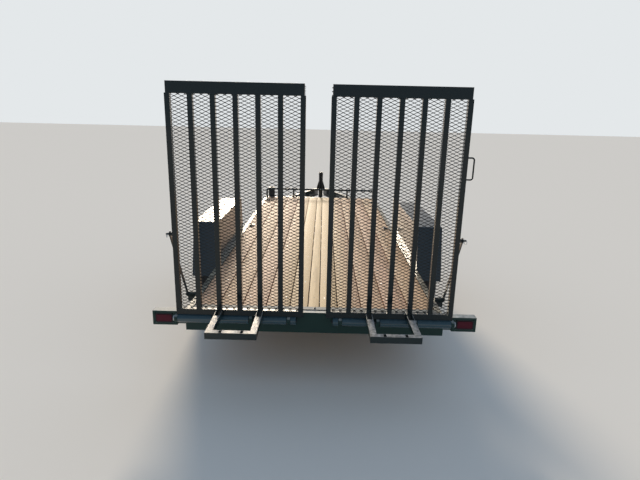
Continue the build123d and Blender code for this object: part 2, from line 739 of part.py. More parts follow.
shoulder = tyre_width / 2
bead_half = shoulder - tyre_bead_inset
barrel_inner = tyre_bead_radius - rim_wall
well_outer = rim_well_radius + rim_wall
disc_front = rim_disc_dish + rim_disc_thickness
lip_foot = rim_lip_half - rim_lip_flare
for k, place in ((-1, "rear"), (1, "front")):
    for side, name in ((-1, "left"), (1, "right")):
        centre_y = at(axle_centre_s + k * axle_spread / 2)
        plane = wheel_profile_plane(side, centre_y)
        axle_line = Axis((0, centre_y, axle_z), (1, 0, 0))
        with BuildPart() as tyre:
            half_profile = (
                (bead_half, tyre_bead_radius),
                (shoulder, tyre_bead_radius + tyre_bead_height),
                (shoulder - tyre_shoulder_inset, tyre_radius - tyre_shoulder_drop),
                (shoulder - tyre_tread_inset, tyre_radius),
            )
            with BuildSketch(plane):
                with BuildLine():
                    Polyline(*half_profile, *[(-x, r) for x, r in reversed(half_profile)], close=True)
                make_face()
            revolve(axis=axle_line)
        write_part(tyre.part, f"tyre_{place}_{name}")

        with BuildPart() as rim:
            # Drop-centre barrel towards the tyre, then back along its inside and round the dished disc
            with BuildSketch(plane):
                with BuildLine():
                    Polyline(
                        (-bead_half, tyre_bead_radius),
                        (rim_well_from - rim_well_ramp, tyre_bead_radius),
                        (rim_well_from, well_outer),
                        (rim_well_to, well_outer),
                        (rim_well_to + rim_well_ramp, tyre_bead_radius),
                        (bead_half, tyre_bead_radius),
                        (rim_lip_half - rim_lip_edge, rim_lip_radius),
                        (rim_lip_half, rim_lip_radius),
                        (lip_foot, barrel_inner),
                        (rim_well_to + rim_well_ramp + rim_well_shift, barrel_inner),
                        (rim_well_to + rim_well_shift, rim_well_radius),
                        (disc_front, rim_well_radius),
                        (disc_front, rim_dish_radius),
                        (rim_disc_thickness, rim_flat_radius),
                        (rim_disc_thickness, rim_bore_radius),
                        (0, rim_bore_radius),
                        (0, rim_flat_radius),
                        (rim_disc_dish, rim_dish_radius),
                        (rim_disc_dish, rim_well_radius),
                        (rim_well_from - rim_well_shift, rim_well_radius),
                        (rim_well_from - rim_well_ramp - rim_well_shift, barrel_inner),
                        (-lip_foot, barrel_inner),
                        (-rim_lip_half, rim_lip_radius),
                        (rim_lip_edge - rim_lip_half, rim_lip_radius),
                        close=True,
                    )
                make_face()
            revolve(axis=axle_line)
            disc_back = Plane((side * (wheel_centre_x + rim_disc_dish), centre_y, axle_z), z_dir=(side, 0, 0))
            with BuildSketch(disc_back):
                with PolarLocations(hand_hole_circle, hand_hole_count):
                    Circle(hand_hole_radius)
            extrude(amount=rim_disc_thickness, mode=Mode.SUBTRACT)
        write_part(rim.part, f"rim_{place}_{name}")

        with BuildPart() as hub:
            drum_back = axle_half + bracket_thickness + backing_plate_thickness + drum_gap - wheel_centre_x
            bore = spindle_radius + spindle_clearance
            bore_end = spindle_end + spindle_end_gap - wheel_centre_x
            with BuildSketch(plane):
                with BuildLine():
                    Polyline(
                        (drum_back, drum_radius),
                        (drum_back + drum_depth, drum_radius),
                        (drum_back + drum_depth, hub_radius),
                        (-hub_flange_thickness, hub_radius),
                        (-hub_flange_thickness, hub_flange_radius),
                        (0, hub_flange_radius),
                        (0, hub_radius),
                        (hub_pilot_reach, hub_radius),
                        (hub_cap_reach, hub_cap_radius),
                        (hub_cap_reach, 0),
                        (bore_end, 0),
                        (bore_end, bore),
                        (drum_back, bore),
                        close=True,
                    )
                make_face()
            revolve(axis=axle_line)
        write_part(hub.part, f"hub_{place}_{name}")

# Ramp gates: seven bars between a bottom rail and a deep top member, on hinge barrels
ramp_top = deck_top + ramp_height
rail_top = deck_top + ramp_rail_top
bars_top = ramp_top - ramp_top_member
ramp_width = ramp_outer - ramp_inner
for side, name in ((-1, "left"), (1, "right")):
    rear_plane = Plane((0, at(bar_rear_s), 0), x_dir=(1, 0, 0), z_dir=(0, 1, 0))
    middle = side * (ramp_inner + ramp_outer) / 2
    with BuildPart() as ramp_frame:
        with Locations((middle, at(bar_rear_s) + ramp_bar / 2, rail_top - ramp_rail_height)):
            Box(ramp_width, ramp_bar, ramp_rail_height, align=(Align.CENTER, Align.CENTER, Align.MIN))
        with Locations((middle, at(bar_rear_s) + ramp_bar / 2, ramp_top)):
            Box(
                ramp_width - 2 * ramp_top_inset, ramp_bar, ramp_top_member,
                align=(Align.CENTER, Align.CENTER, Align.MAX),
            )
        for bar in range(ramp_bar_count):
            x = side * (ramp_inner + ramp_bar / 2 + bar * bar_pitch)
            with Locations((x, at(bar_rear_s) + ramp_bar / 2, rail_top)):
                Box(ramp_bar, ramp_bar, bars_top - rail_top, align=(Align.CENTER, Align.CENTER, Align.MIN))
        for inner, outer in barrel_spans:
            with BuildSketch(Plane((side * inner, at(axis_s), axis_z), z_dir=(side, 0, 0))):
                Circle(barrel_radius)
            extrude(amount=outer - inner)
        with BuildSketch(Plane((side * ramp_inner, at(axis_s), axis_z), z_dir=(side, 0, 0))):
            Circle(hinge_pin_radius + pin_clearance)
        extrude(amount=ramp_width, mode=Mode.SUBTRACT)
    write_part(ramp_frame.part, f"ramp_{name}_frame")

    # Expanded metal on the forward face, drawn with an open lattice of lying diamonds
    with BuildPart() as ramp_mesh:
        mesh_plane = Plane((middle, at(bar_front_s), 0), x_dir=(1, 0, 0), z_dir=(0, 1, 0))
        low = rail_top - ramp_rail_height + mesh_inset
        high = ramp_top - mesh_inset
        cell_width = (ramp_width - 2 * ramp_bar) / mesh_columns
        cell_height = (bars_top - rail_top) / mesh_rows
        with BuildSketch(mesh_plane):
            with Locations((0, -(low + high) / 2)):
                Rectangle(ramp_width - 2 * mesh_inset, high - low)
            with BuildSketch(mode=Mode.PRIVATE) as diamond:
                with BuildLine():
                    half_x = cell_width / 2 - mesh_strand
                    half_y = cell_height / 2 - mesh_strand / 2
                    Polyline((half_x, 0), (0, half_y), (-half_x, 0), (0, -half_y), close=True)
                make_face()
            centre = (0, -(rail_top + bars_top) / 2)
            with Locations(centre):
                with GridLocations(cell_width, cell_height, mesh_columns, mesh_rows):
                    add(diamond.sketch, mode=Mode.SUBTRACT)
                with GridLocations(cell_width, cell_height, mesh_columns - 1, mesh_rows - 1):
                    add(diamond.sketch, mode=Mode.SUBTRACT)
        extrude(amount=mesh_thickness)
    write_part(ramp_mesh.part, f"ramp_{name}_mesh")

    # Foot under the ramp: a U of inverted channel on two of the bars
    with BuildPart() as ramp_foot:
        leg_x = [ramp_inner + ramp_bar / 2 + (bar - 1) * bar_pitch for bar in foot_bars]
        foot_low = leg_x[0] - foot_leg / 2
        foot_high = leg_x[1] + foot_leg / 2
        foot_middle = side * (foot_low + foot_high) / 2
        foot_length = bar_rear_s - (axis_s - foot_reach)
        foot_top = deck_top + foot_rise
        front = Plane((foot_middle, at(bar_rear_s), foot_top))
        foot_width = foot_high - foot_low
        inner_width = foot_width - 2 * foot_leg
        inner_length = foot_length - foot_leg
        with BuildSketch(front):
            Rectangle(foot_width, foot_length, align=(Align.CENTER, Align.MAX))
            Rectangle(inner_width, inner_length, align=(Align.CENTER, Align.MAX), mode=Mode.SUBTRACT)
        extrude(amount=-foot_leg)
        with BuildSketch(front.offset(-foot_sheet)):
            Rectangle(foot_width - 2 * foot_sheet, foot_length - foot_sheet, align=(Align.CENTER, Align.MAX))
            Rectangle(
                inner_width + 2 * foot_sheet, inner_length + foot_sheet,
                align=(Align.CENTER, Align.MAX), mode=Mode.SUBTRACT,
            )
        extrude(amount=foot_sheet - foot_leg, mode=Mode.SUBTRACT)
        # The legs' top sheet stops short of the bars
        with BuildSketch(front):
            for leg in (-1, 1):
                with Locations((leg * (foot_width - foot_leg) / 2, 0)):
                    Rectangle(foot_leg - 2 * foot_sheet, foot_open_length, align=(Align.CENTER, Align.MAX))
        extrude(amount=-foot_sheet, mode=Mode.SUBTRACT)
        # Cope round the hinge barrels
        with BuildSketch(Plane((side * foot_low, at(axis_s), axis_z), z_dir=(side, 0, 0))):
            Circle(barrel_radius + hinge_side_gap)
        extrude(amount=foot_width, mode=Mode.SUBTRACT)
        # Two notches across the top of the cross piece
        notch_y = at(bar_rear_s) - foot_length + foot_sheet
        notch_xs = (foot_middle - foot_notch_spread / 2, foot_middle + foot_notch_spread / 2)
        with Locations(*[(x, notch_y, foot_top) for x in notch_xs]):
            Box(
                foot_notch, foot_leg - 2 * foot_sheet, foot_sheet, mode=Mode.SUBTRACT,
                align=(Align.CENTER, Align.MIN, Align.MAX),
            )
    write_part(ramp_foot.part, f"ramp_{name}_foot")

    # Brace: a flat bar from the side rail's pin to the ramp's side, with a sleeve and a pull pin
    with BuildPart() as brace:
        dy = brace_foot_s + brace_top_back
        length = sqrt(dy**2 + brace_top_height**2)
        brace_plane = Plane(
            (side * brace_x, at(brace_foot_s), deck_top),
            x_dir=(0, -dy / length, brace_top_height / length), z_dir=(side, 0, 0),
        )
        with BuildSketch(brace_plane):
            Rectangle(length, brace_width, align=(Align.MIN, Align.CENTER))
            with Locations((0, 0), (length, 0)):
                Circle(brace_eye_radius)
            Circle(brace_pin_radius + pin_clearance, mode=Mode.SUBTRACT)
        extrude(amount=brace_thickness)
        with BuildSketch(brace_plane):
            with Locations((length, 0)):
                Circle(brace_sleeve_radius)
        extrude(amount=brace_clearance - brace_gap)
        with BuildSketch(brace_plane.offset(brace_thickness)):
            with Locations((length, 0)):
                Circle(brace_pull_radius)
        extrude(amount=brace_pull_reach)
    write_part(brace.part, f"brace_{name}")

# Pull handle on the outer side of the right ramp
with BuildPart() as ramp_handle:
    handle_y = at(bar_rear_s) + ramp_bar / 2
    bend_x = ramp_outer + handle_reach - handle_rod_radius - handle_bend
    low_z = deck_top + handle_low
    high_z = deck_top + handle_high
    for end_z, way in ((low_z, 1), (high_z, -1)):
        with BuildSketch(Plane((ramp_outer, handle_y, end_z), z_dir=(1, 0, 0))):
            Circle(handle_rod_radius)
        extrude(amount=bend_x - ramp_outer)
        with BuildSketch(Plane((bend_x, handle_y, end_z), z_dir=(1, 0, 0))):
            Circle(handle_rod_radius)
        revolve(axis=Axis((bend_x, handle_y, end_z + way * handle_bend), (0, -way, 0)), revolution_arc=90)
    with BuildSketch(Plane((bend_x + handle_bend, handle_y, low_z + handle_bend))):
        Circle(handle_rod_radius)
    extrude(amount=handle_high - handle_low - 2 * handle_bend)
write_part(ramp_handle.part, "ramp_right_handle")
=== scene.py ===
"""Finishes and fine detail of a tandem-axle equipment trailer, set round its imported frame.

Lengths are metres in the frame's axes: +X right, +Y towards the hitch, +Z up. Sizes that a
maker would read off a drawing are given in millimetres and multiplied by MM.
"""
import json
import logging
import math
import random
from collections.abc import Callable, Iterable, Sequence
from dataclasses import dataclass
from enum import Enum
from functools import partial

import bmesh
import bpy
from mathutils import Matrix, Vector

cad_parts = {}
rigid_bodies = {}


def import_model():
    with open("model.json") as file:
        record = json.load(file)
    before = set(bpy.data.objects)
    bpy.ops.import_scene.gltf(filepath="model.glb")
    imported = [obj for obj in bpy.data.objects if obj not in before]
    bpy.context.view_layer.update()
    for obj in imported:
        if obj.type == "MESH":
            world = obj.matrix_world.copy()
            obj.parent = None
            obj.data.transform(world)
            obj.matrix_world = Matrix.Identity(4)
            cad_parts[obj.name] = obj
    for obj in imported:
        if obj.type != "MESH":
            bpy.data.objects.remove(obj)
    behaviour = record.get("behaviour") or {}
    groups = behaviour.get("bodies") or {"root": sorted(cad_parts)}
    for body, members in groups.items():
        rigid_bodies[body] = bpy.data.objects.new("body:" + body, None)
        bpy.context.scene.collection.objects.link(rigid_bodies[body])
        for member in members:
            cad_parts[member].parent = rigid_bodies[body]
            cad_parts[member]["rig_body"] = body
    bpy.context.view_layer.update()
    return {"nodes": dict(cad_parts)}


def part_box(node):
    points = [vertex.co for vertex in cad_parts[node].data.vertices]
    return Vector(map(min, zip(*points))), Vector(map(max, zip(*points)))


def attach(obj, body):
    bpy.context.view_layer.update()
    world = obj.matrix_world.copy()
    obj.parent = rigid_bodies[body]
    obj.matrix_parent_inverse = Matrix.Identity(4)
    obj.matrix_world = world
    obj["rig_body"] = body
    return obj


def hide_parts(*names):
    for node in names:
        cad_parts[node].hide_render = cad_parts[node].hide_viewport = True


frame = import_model()

Shape = bmesh.types.BMesh
Socket = bpy.types.NodeSocket
# add_node, with the tree given
Add = Callable[..., Socket]
# A shape about the origin and the places of its copies
Part = tuple[Shape, Sequence[Matrix]]
# Where a pattern starts and is full, and how much it covers there
Cover = tuple[float, float, float, float]

LOG = logging.getLogger("trailer")
MM = 0.001
MERGE_DISTANCE = 0.01 * MM
# The tread's pitches meet less exactly than the frame's triangles
TREAD_MERGE_DISTANCE = 0.05 * MM
FLAT_ANGLE = math.radians(0.6)
SHARP_ANGLE = math.radians(36)
TREAD_SHARP_ANGLE = math.radians(42)
ROUNDING_ANGLE = math.radians(40)
FULL_TURN = 2 * math.pi
QUARTER_TURN = math.pi / 2
UP = Vector((0, 0, 1))
AHEAD = Vector((0, 1, 0))
RIGHT = Vector((1, 0, 0))
# Place of a shape that is made where it belongs
HERE = (Matrix(),)
ABOUT_X = {"cent": (0, 0, 0), "axis": (1, 0, 0)}


class Place(Enum):
    """A place on the trailer. The value is its sign along one axis."""

    @property
    def label(self) -> str:
        """Name of the place as the nodes spell it."""
        return self.name.lower()


class Side(Place):
    """The two sides of the trailer along X, seen from behind."""

    LEFT = -1
    RIGHT = 1


class AxlePlace(Place):
    """The two axles along Y, from the middle of the pair."""

    REAR = -1
    FRONT = 1


class Slot(Enum):
    """Material slots of the record."""

    FRAME = "frame_paint"
    RAMP = "ramp_paint"
    TIMBER = "deck_timber"
    TYRE = "tyre"
    RIM = "rim_paint"
    HUB = "hub_iron"
    AXLE = "axle_paint"
    SPRING = "spring_steel"
    ZINC = "pin_zinc"
    JACK = "jack_paint"
    COUPLER = "coupler_paint"
    BOX = "box_plastic"
    LAMP = "lamp_red"


def linear(colour: str) -> tuple[float, float, float, float]:
    """Turn an sRGB hex colour into the linear values that shaders take.

    Args:
        colour: Colour as "#rrggbb".

    Returns:
        Linear red, green, blue and an alpha of 1.
    """
    levels = [int(colour[start : start + 2], 16) / 255 for start in (1, 3, 5)]
    red, green, blue = [v / 12.92 if v <= 0.04045 else ((v + 0.055) / 1.055) ** 2.4 for v in levels]
    return (red, green, blue, 1.0)


def feed(node: bpy.types.Node, inputs: dict | Sequence) -> None:
    """Set or link the inputs of a shader node.

    Args:
        node: The node.
        inputs: A number, a hex colour or the output that feeds it for each socket, either by the
            socket's name or number or in the order of the sockets.
    """
    for key, value in inputs.items() if isinstance(inputs, dict) else enumerate(inputs):
        if isinstance(value, Socket):
            node.id_data.links.new(value, node.inputs[key])
        else:
            node.inputs[key].default_value = linear(value) if isinstance(value, str) else value


def add_node(
    tree: bpy.types.NodeTree, kind: str, inputs: dict | Sequence = (), out: int | str = 0,
    stops: Sequence[tuple[float, str]] = (), **settings: object,
) -> Socket:
    """Add one shader node with its settings and links.

    Args:
        tree: Node tree that takes the node.
        kind: Blender's type name of the node, without its prefix.
        inputs: Its inputs, as feed takes them.
        out: Name or number of the output to give back.
        stops: Positions and hex colours of a colour ramp, in rising order.
        **settings: Attributes of the node itself.

    Returns:
        The chosen output of the new node.
    """
    node = tree.nodes.new(f"ShaderNode{kind}")
    for key, value in settings.items():
        setattr(node, key, value)
    feed(node, inputs)
    for number, (position, colour) in enumerate(stops):
        elements = node.color_ramp.elements
        element = elements[number] if number < 2 else elements.new(position)
        element.position = position
        element.color = linear(colour)
    return node.outputs[out]


@dataclass(frozen=True)
class Finish:
    """A surface finish and its material slot. Each kind builds its own shader from its real sizes."""

    name: str
    slot: Slot

    def material(self) -> bpy.types.Material:
        """Give the finish's material, made on first use.

        Returns:
            The material, under the finish's name.
        """
        known = bpy.data.materials.get(self.name)
        if known:
            return known
        material = bpy.data.materials.new(self.name)
        material.use_nodes = True
        tree = material.node_tree
        self.paint(partial(add_node, tree), tree.nodes["Principled BSDF"])
        return material

    def paint(self, add: Add, shader: bpy.types.Node) -> None:
        """Fill in the shader.

        Args:
            add: Adds a node to the material's tree.
            shader: The material's principled shader.
        """
        raise NotImplementedError


@dataclass(frozen=True)
class PowderCoat(Finish):
    """Polyester powder baked on steel: wet-looking gloss, a faint orange peel, dust and painted highlight on
    what faces up.
    """

    # The teal tint is painted shade: black coat coloured as it looks in blue skylit shade
    colour: str = "#091f1e"
    # Pale film on upward faces: dust at low shares; at the high shares of the sill, retainer and feet it is a
    # painted highlight for sun glint on tops
    dust: str = "#b4b9bb"
    dust_share: float = 0.26
    least_dust: float = 0.006
    # How far a face has to look up for the pale film of dust and painted highlight to lie on it
    upward: tuple[float, float] = (0.5, 0.95)
    drifts: Cover = (0.38, 0.68, 0.25, 1.0)
    patch: float = 90 * MM
    roughness: float = 0.28
    dust_roughness: float = 0.22
    specular: float = 0.25
    coat: float = 0.6
    coat_roughness: float = 0.08
    # The coat fades out where the pale film of dust and painted highlight lies this thick
    dull: float = 0.25
    # The real peel is about 1.5 mm across, drawn coarser so that it shows
    peel: float = 4 * MM
    peel_depth: float = 0.05 * MM

    def paint(self, add: Add, shader: bpy.types.Node) -> None:
        """Mix a pale film of dust and painted highlight over the coat by how far a face looks up, and ripple
        the gloss.

        Args:
            add: Adds a node to the material's tree.
            shader: The material's principled shader.
        """
        place = add("TexCoord", out="Object")
        facing_up = add("SeparateXYZ", (place.node.outputs["Normal"],), "Z")
        drift = add("TexNoise", {"Vector": place, "Scale": 1 / self.patch, "Detail": 7.0, "Roughness": 0.65})
        patchy_dust_and_sheen = add("MapRange", (drift, *self.drifts))
        dust_and_sheen_mask = add("Math", (add("MapRange", (facing_up, *self.upward)), patchy_dust_and_sheen), operation="MULTIPLY")
        film = add("MapRange", (dust_and_sheen_mask, 0.0, 1.0, self.least_dust, self.dust_share))
        peel = add("TexNoise", {"Vector": place, "Scale": 1 / self.peel, "Detail": 2.0})
        dusty = self.roughness + self.dust_roughness
        feed(shader, {
            # Pale film on upward faces: dust, and painted highlight where its share is high
            "Base Color": add("MixRGB", (film, self.colour, self.dust)),
            "Roughness": add("MapRange", (dust_and_sheen_mask, 0.0, 1.0, self.roughness, dusty)),
            "Normal": add("Bump", {"Height": peel, "Distance": self.peel_depth, "Strength": 0.6}),
            "Coat Weight": add("MapRange", (dust_and_sheen_mask, 0.0, self.dull, self.coat, 0.0)),
            "Coat Roughness": self.coat_roughness,
            "Specular IOR Level": self.specular,
        })


@dataclass(frozen=True)
class TreatedPine(Finish):
    """Pressure-treated pine, planed and weathered a few months: yellow tan with brown rings and knots."""

    early: tuple[str, str] = ("#e8cd9f", "#e8c2a4")
    late: tuple[str, str] = ("#ae8850", "#b28263")
    damp: str = "#886a42"
    knot: str = "#5f3d20"
    check: str = "#4a3524"
    # Growth rings 8 mm apart on the face, fibres drawn 1.5 mm wide
    ring_pitch: float = 8 * MM
    fibre: float = 1.5 * MM
    knot_cell: tuple[float, float] = (190 * MM, 620 * MM)
    # Share of a pattern's scale that is left along the board
    ring_stretch: float = 0.045
    fibre_stretch: float = 0.018
    check_stretch: float = 0.05
    # Share of the cells without a knot, and how far rings sway and bend round one
    clear_cells: float = 0.62
    sway: float = 0.11
    bend: float = 0.28
    bend_reach: Cover = (0.0, 0.34, 1.0, 0.0)
    rings: Cover = (0.3, 1.0, 0.0, 0.85)
    fibres: Cover = (0.35, 0.75, 0.0, 0.42)
    clouds: Cover = (0.42, 0.72, 0.0, 0.55)
    knots: Cover = (0.045, 0.085, 0.85, 0.0)
    checks: Cover = (0.002, 0.007, 0.55, 0.0)
    checked_clouds: tuple[float, float] = (0.5, 0.6)
    relief: float = 0.5 * MM

    def paint(self, add: Add, shader: bpy.types.Node) -> None:
        """Draw rings bent round knots, fibres along the board and a few drying checks.

        Args:
            add: Adds a node to the material's tree.
            shader: The material's principled shader.
        """
        tone = add("Attribute", out="Fac", attribute_name="board_tone")
        seed = add("Attribute", out="Fac", attribute_name="board_seed")
        shift = add("CombineXYZ", (seed, seed, seed))
        own = add("VectorMath", (add("TexCoord", out="Object"), shift), operation="ADD")
        along, fibre_place, check_place = [
            add("Mapping", {"Vector": own, "Scale": (1.0, stretch, 1.0)})
            for stretch in (self.ring_stretch, self.fibre_stretch, self.check_stretch)
        ]
        across, length = self.knot_cell
        cells = add("Mapping", {"Vector": own, "Scale": (1 / across, 1 / length, 0.0)})
        off_knot = add("TexVoronoi", {"Vector": cells, "Scale": 1.0, "Randomness": 0.85})
        which = add("SeparateColor", (off_knot.node.outputs["Color"],))
        real = add("Math", (which, self.clear_cells), operation="GREATER_THAN")
        near = add("MapRange", (off_knot, *self.bend_reach), interpolation_type="SMOOTHSTEP")
        round_knot = add("Math", (near, real), operation="MULTIPLY")
        sway = add("TexNoise", {"Vector": along, "Scale": 9.0, "Detail": 2.0, "Roughness": 0.45})
        push = add("Math", (sway, self.sway, round_knot), operation="MULTIPLY_ADD")
        slide = add("VectorMath", {0: add("CombineXYZ", (push,)), 3: self.bend}, operation="SCALE")
        bent = add("VectorMath", (along, slide), operation="ADD")
        # A wave texture runs through 20 radians in each unit of length
        wave = {"Vector": bent, "Scale": FULL_TURN / (20 * self.ring_pitch), "Distortion": 5.5}
        wave |= {"Detail": 3.0, "Detail Scale": 0.12, "Detail Roughness": 0.6}
        rings = add("TexWave", wave, "Fac", wave_profile="SAW")
        fibres = add(
            "TexNoise", {"Vector": fibre_place, "Scale": 1 / self.fibre, "Detail": 4.0, "Roughness": 0.7}
        )
        # Soft clouds of wear and damp, half a metre long
        clouds = add("TexNoise", {"Vector": along, "Scale": 26.0, "Detail": 3.0, "Roughness": 0.55})
        core = add("MapRange", (off_knot, *self.knots))
        # Drying checks: hair-thin dark lines where a long noise crosses its middle value
        splits = add("TexNoise", {"Vector": check_place, "Scale": 22.0, "Detail": 1.0})
        off_middle = add("Math", (splits, 0.5), operation="SUBTRACT")
        line = add("MapRange", (add("Math", (off_middle,), operation="ABSOLUTE"), *self.checks))
        some = add("MapRange", (clouds, *self.checked_clouds))
        split = add("Math", (line, some), operation="MULTIPLY")
        late = add("MixRGB", (tone, *self.late))
        colour = add("MixRGB", (tone, *self.early))
        for share, layer in (
            (add("MapRange", (rings, *self.rings)), late),
            (add("MapRange", (fibres, *self.fibres)), late),
            (add("MapRange", (clouds, *self.clouds)), self.damp),
            (add("Math", (core, real), operation="MULTIPLY"), self.knot),
            (split, self.check),
        ):
            colour = add("MixRGB", (share, colour, layer))
        height = add("Math", (fibres, split), operation="SUBTRACT")
        feed(shader, {
            "Base Color": colour,
            "Normal": add("Bump", {"Height": height, "Distance": self.relief, "Strength": 0.5}),
            "Roughness": 0.65,
            "Specular IOR Level": 0.25,
        })


@dataclass(frozen=True)
class WornSurface(Finish):
    """A surface whose tint and gloss wander in patches from clean to stained, over a fine grain."""

    colour: str = "#b9bec3"
    stain: str = "#8d8878"
    patch: float = 14 * MM
    patch_detail: float = 5.0
    patch_roughness: float = 0.6
    cover: Cover = (0.4, 0.72, 0.0, 0.45)
    # Roughness of the clean and of the stained surface
    roughness: tuple[float, float] = (0.28, 0.56)
    grain: float = 1.0 * MM
    grain_depth: float = 0.04 * MM
    metallic: float = 0.0

    def paint(self, add: Add, shader: bpy.types.Node) -> None:
        """Blend the clean and the stained surface, and roughen the stained part.

        Args:
            add: Adds a node to the material's tree.
            shader: The material's principled shader.
        """
        place = add("TexCoord", out="Object")
        patches = {"Detail": self.patch_detail, "Roughness": self.patch_roughness}
        drift = add("TexNoise", {"Vector": place, "Scale": 1 / self.patch, **patches})
        film = add("MapRange", (drift, *self.cover))
        height, rough, strength = self.texture(add, place, drift)
        feed(shader, {
            "Base Color": add("MixRGB", (film, self.colour, self.stain)),
            "Roughness": add("MapRange", (rough, 0.0, 1.0, *self.roughness)),
            "Normal": add("Bump", {"Height": height, "Distance": self.grain_depth, "Strength": strength}),
            "Metallic": self.metallic,
        })

    def texture(self, add: Add, place: Socket, drift: Socket) -> tuple[Socket, Socket, float]:
        """Height of the fine grain, what steers the roughness, and strength of the bump."""
        return add("TexNoise", {"Vector": place, "Scale": 1 / self.grain, "Detail": 2.0}), drift, 0.5


@dataclass(frozen=True)
class BareMetal(WornSurface):
    """Plated or bare steel: a metal whose tint and gloss wander over a few centimetres."""

    metallic: float = 1.0


@dataclass(frozen=True)
class TyreRubber(WornSurface):
    """Moulded carbon-black rubber: soft dull sheen, road dust caught in patches, a fine moulded grain."""

    colour: str = "#17181a"
    stain: str = "#6f675b"
    patch: float = 55 * MM
    patch_detail: float = 8.0
    patch_roughness: float = 0.7
    cover: Cover = (0.42, 0.7, 0.03, 0.26)
    roughness: tuple[float, float] = (0.5, 0.8)
    grain: float = 1.2 * MM
    grain_depth: float = 0.15 * MM


@dataclass(frozen=True)
class SprayedEnamel(WornSurface):
    """Sprayed wheel enamel with fine aluminium flake: bright satin, a little brake dust in patches."""

    colour: str = "#c3c7ca"
    stain: str = "#55504a"
    patch: float = 40 * MM
    patch_detail: float = 6.0
    cover: Cover = (0.5, 0.78, 0.0, 0.35)
    roughness: tuple[float, float] = (0.28, 0.44)
    grain: float = 0.8 * MM
    grain_depth: float = 0.02 * MM
    metallic: float = 0.55

    def paint(self, add: Add, shader: bpy.types.Node) -> None:
        """Lay a thin clear coat over the flake."""
        super().paint(add, shader)
        feed(shader, {"Coat Weight": 0.3, "Coat Roughness": 0.15})

    def texture(self, add: Add, place: Socket, drift: Socket) -> tuple[Socket, Socket, float]:
        """Sparkle by the flakes, whose facets steer the roughness too."""
        flakes = add("TexVoronoi", {"Vector": place, "Scale": 1 / self.grain})
        return flakes, flakes, 0.4


@dataclass(frozen=True)
class MouldedPolymer(Finish):
    """Injection-moulded black polymer or rubber: even colour, spark-eroded grain, low sheen."""

    colour: str = "#141516"
    pale: str = "#26282a"
    roughness: float = 0.5
    # The real grain is about 0.5 mm, drawn coarser so that it shows
    grain: float = 1.5 * MM

    def paint(self, add: Add, shader: bpy.types.Node) -> None:
        """Lay a pebbled grain over an even colour.

        Args:
            add: Adds a node to the material's tree.
            shader: The material's principled shader.
        """
        grain = add("TexVoronoi", {"Vector": add("TexCoord", out="Object"), "Scale": 1 / self.grain})
        feed(shader, {
            "Base Color": add("MixRGB", (grain, self.colour, self.pale)),
            "Normal": add("Bump", {"Height": grain, "Distance": 0.1 * MM, "Strength": 0.4}),
            "Roughness": self.roughness,
        })


@dataclass(frozen=True)
class AcrylicLens(Finish):
    """Red moulded acrylic over a dark housing: rich red, soft gloss, fine prisms behind the face, with
    painted shade between them.
    """

    colour: str = "#640b26"
    deep: str = "#3a0718"
    prism: float = 4 * MM

    def paint(self, add: Add, shader: bpy.types.Node) -> None:
        """Darken between the prisms with painted shade, under a clear face.

        Args:
            add: Adds a node to the material's tree.
            shader: The material's principled shader.
        """
        place = add("TexCoord", out="Object")
        prisms = add("TexVoronoi", {"Vector": place, "Scale": 1 / self.prism, "Randomness": 0.0})
        feed(shader, {
            "Base Color": add("MixRGB", (add("MapRange", (prisms, 0.2, 0.7)), self.colour, self.deep)),
            "Roughness": 0.3,
            "IOR": 1.49,
            "Specular IOR Level": 0.25,
        })


FRAME_COAT = PowderCoat("frame_powder_coat", Slot.FRAME)
# Sand and sawdust lie thick on the rails' upper flanges beside the boards
RAIL_COAT = PowderCoat("rail_powder_coat", Slot.FRAME, dust="#c6baa2", dust_share=0.75)
# Painted highlight: the rear sill's top and its lamp boxes' tops are painted pale grey for a low sun glinting
# on them, and their coat is left off so they look dull; the paler green face colour is a painted reflection
# of sky that the coat no longer gives
SILL_COAT = PowderCoat(
    "sill_powder_coat", Slot.FRAME, "#1a3832", dust="#c9cbc8", dust_share=0.9, roughness=0.45,
    specular=0.3, coat=0.0,
)
# Painted highlight: the retainer bar's upward faces are painted an even pale grey for the sky and sun
# glinting on its top, and its coat is left off
RETAINER_COAT = PowderCoat(
    "retainer_powder_coat", Slot.FRAME, dust="#b4b7b5", dust_share=0.8, roughness=0.5, specular=0.2, coat=0.0
)
# The ramps' teal tint is painted shade: black coat coloured as it looks in blue skylit shade
RAMP_COAT = PowderCoat("ramp_powder_coat", Slot.RAMP, "#08181a", roughness=0.26, coat=0.35)
# The fenders' navy colour is a painted reflection of blue sky on their black coat
FENDER_COAT = PowderCoat("fender_powder_coat", Slot.FRAME, "#061d27", specular=0.4, coat=0.9)
MESH_COAT = PowderCoat("mesh_powder_coat", Slot.RAMP, "#0c0d0c", dust_share=0.08, roughness=0.4)
# Painted highlight: the ramp feet's tops are painted pale grey for sky and sun glinting on the black coat
FOOT_COAT = PowderCoat(
    "foot_powder_coat", Slot.RAMP, dust="#c9cacb", dust_share=0.8, roughness=0.3, patch=30 * MM
)
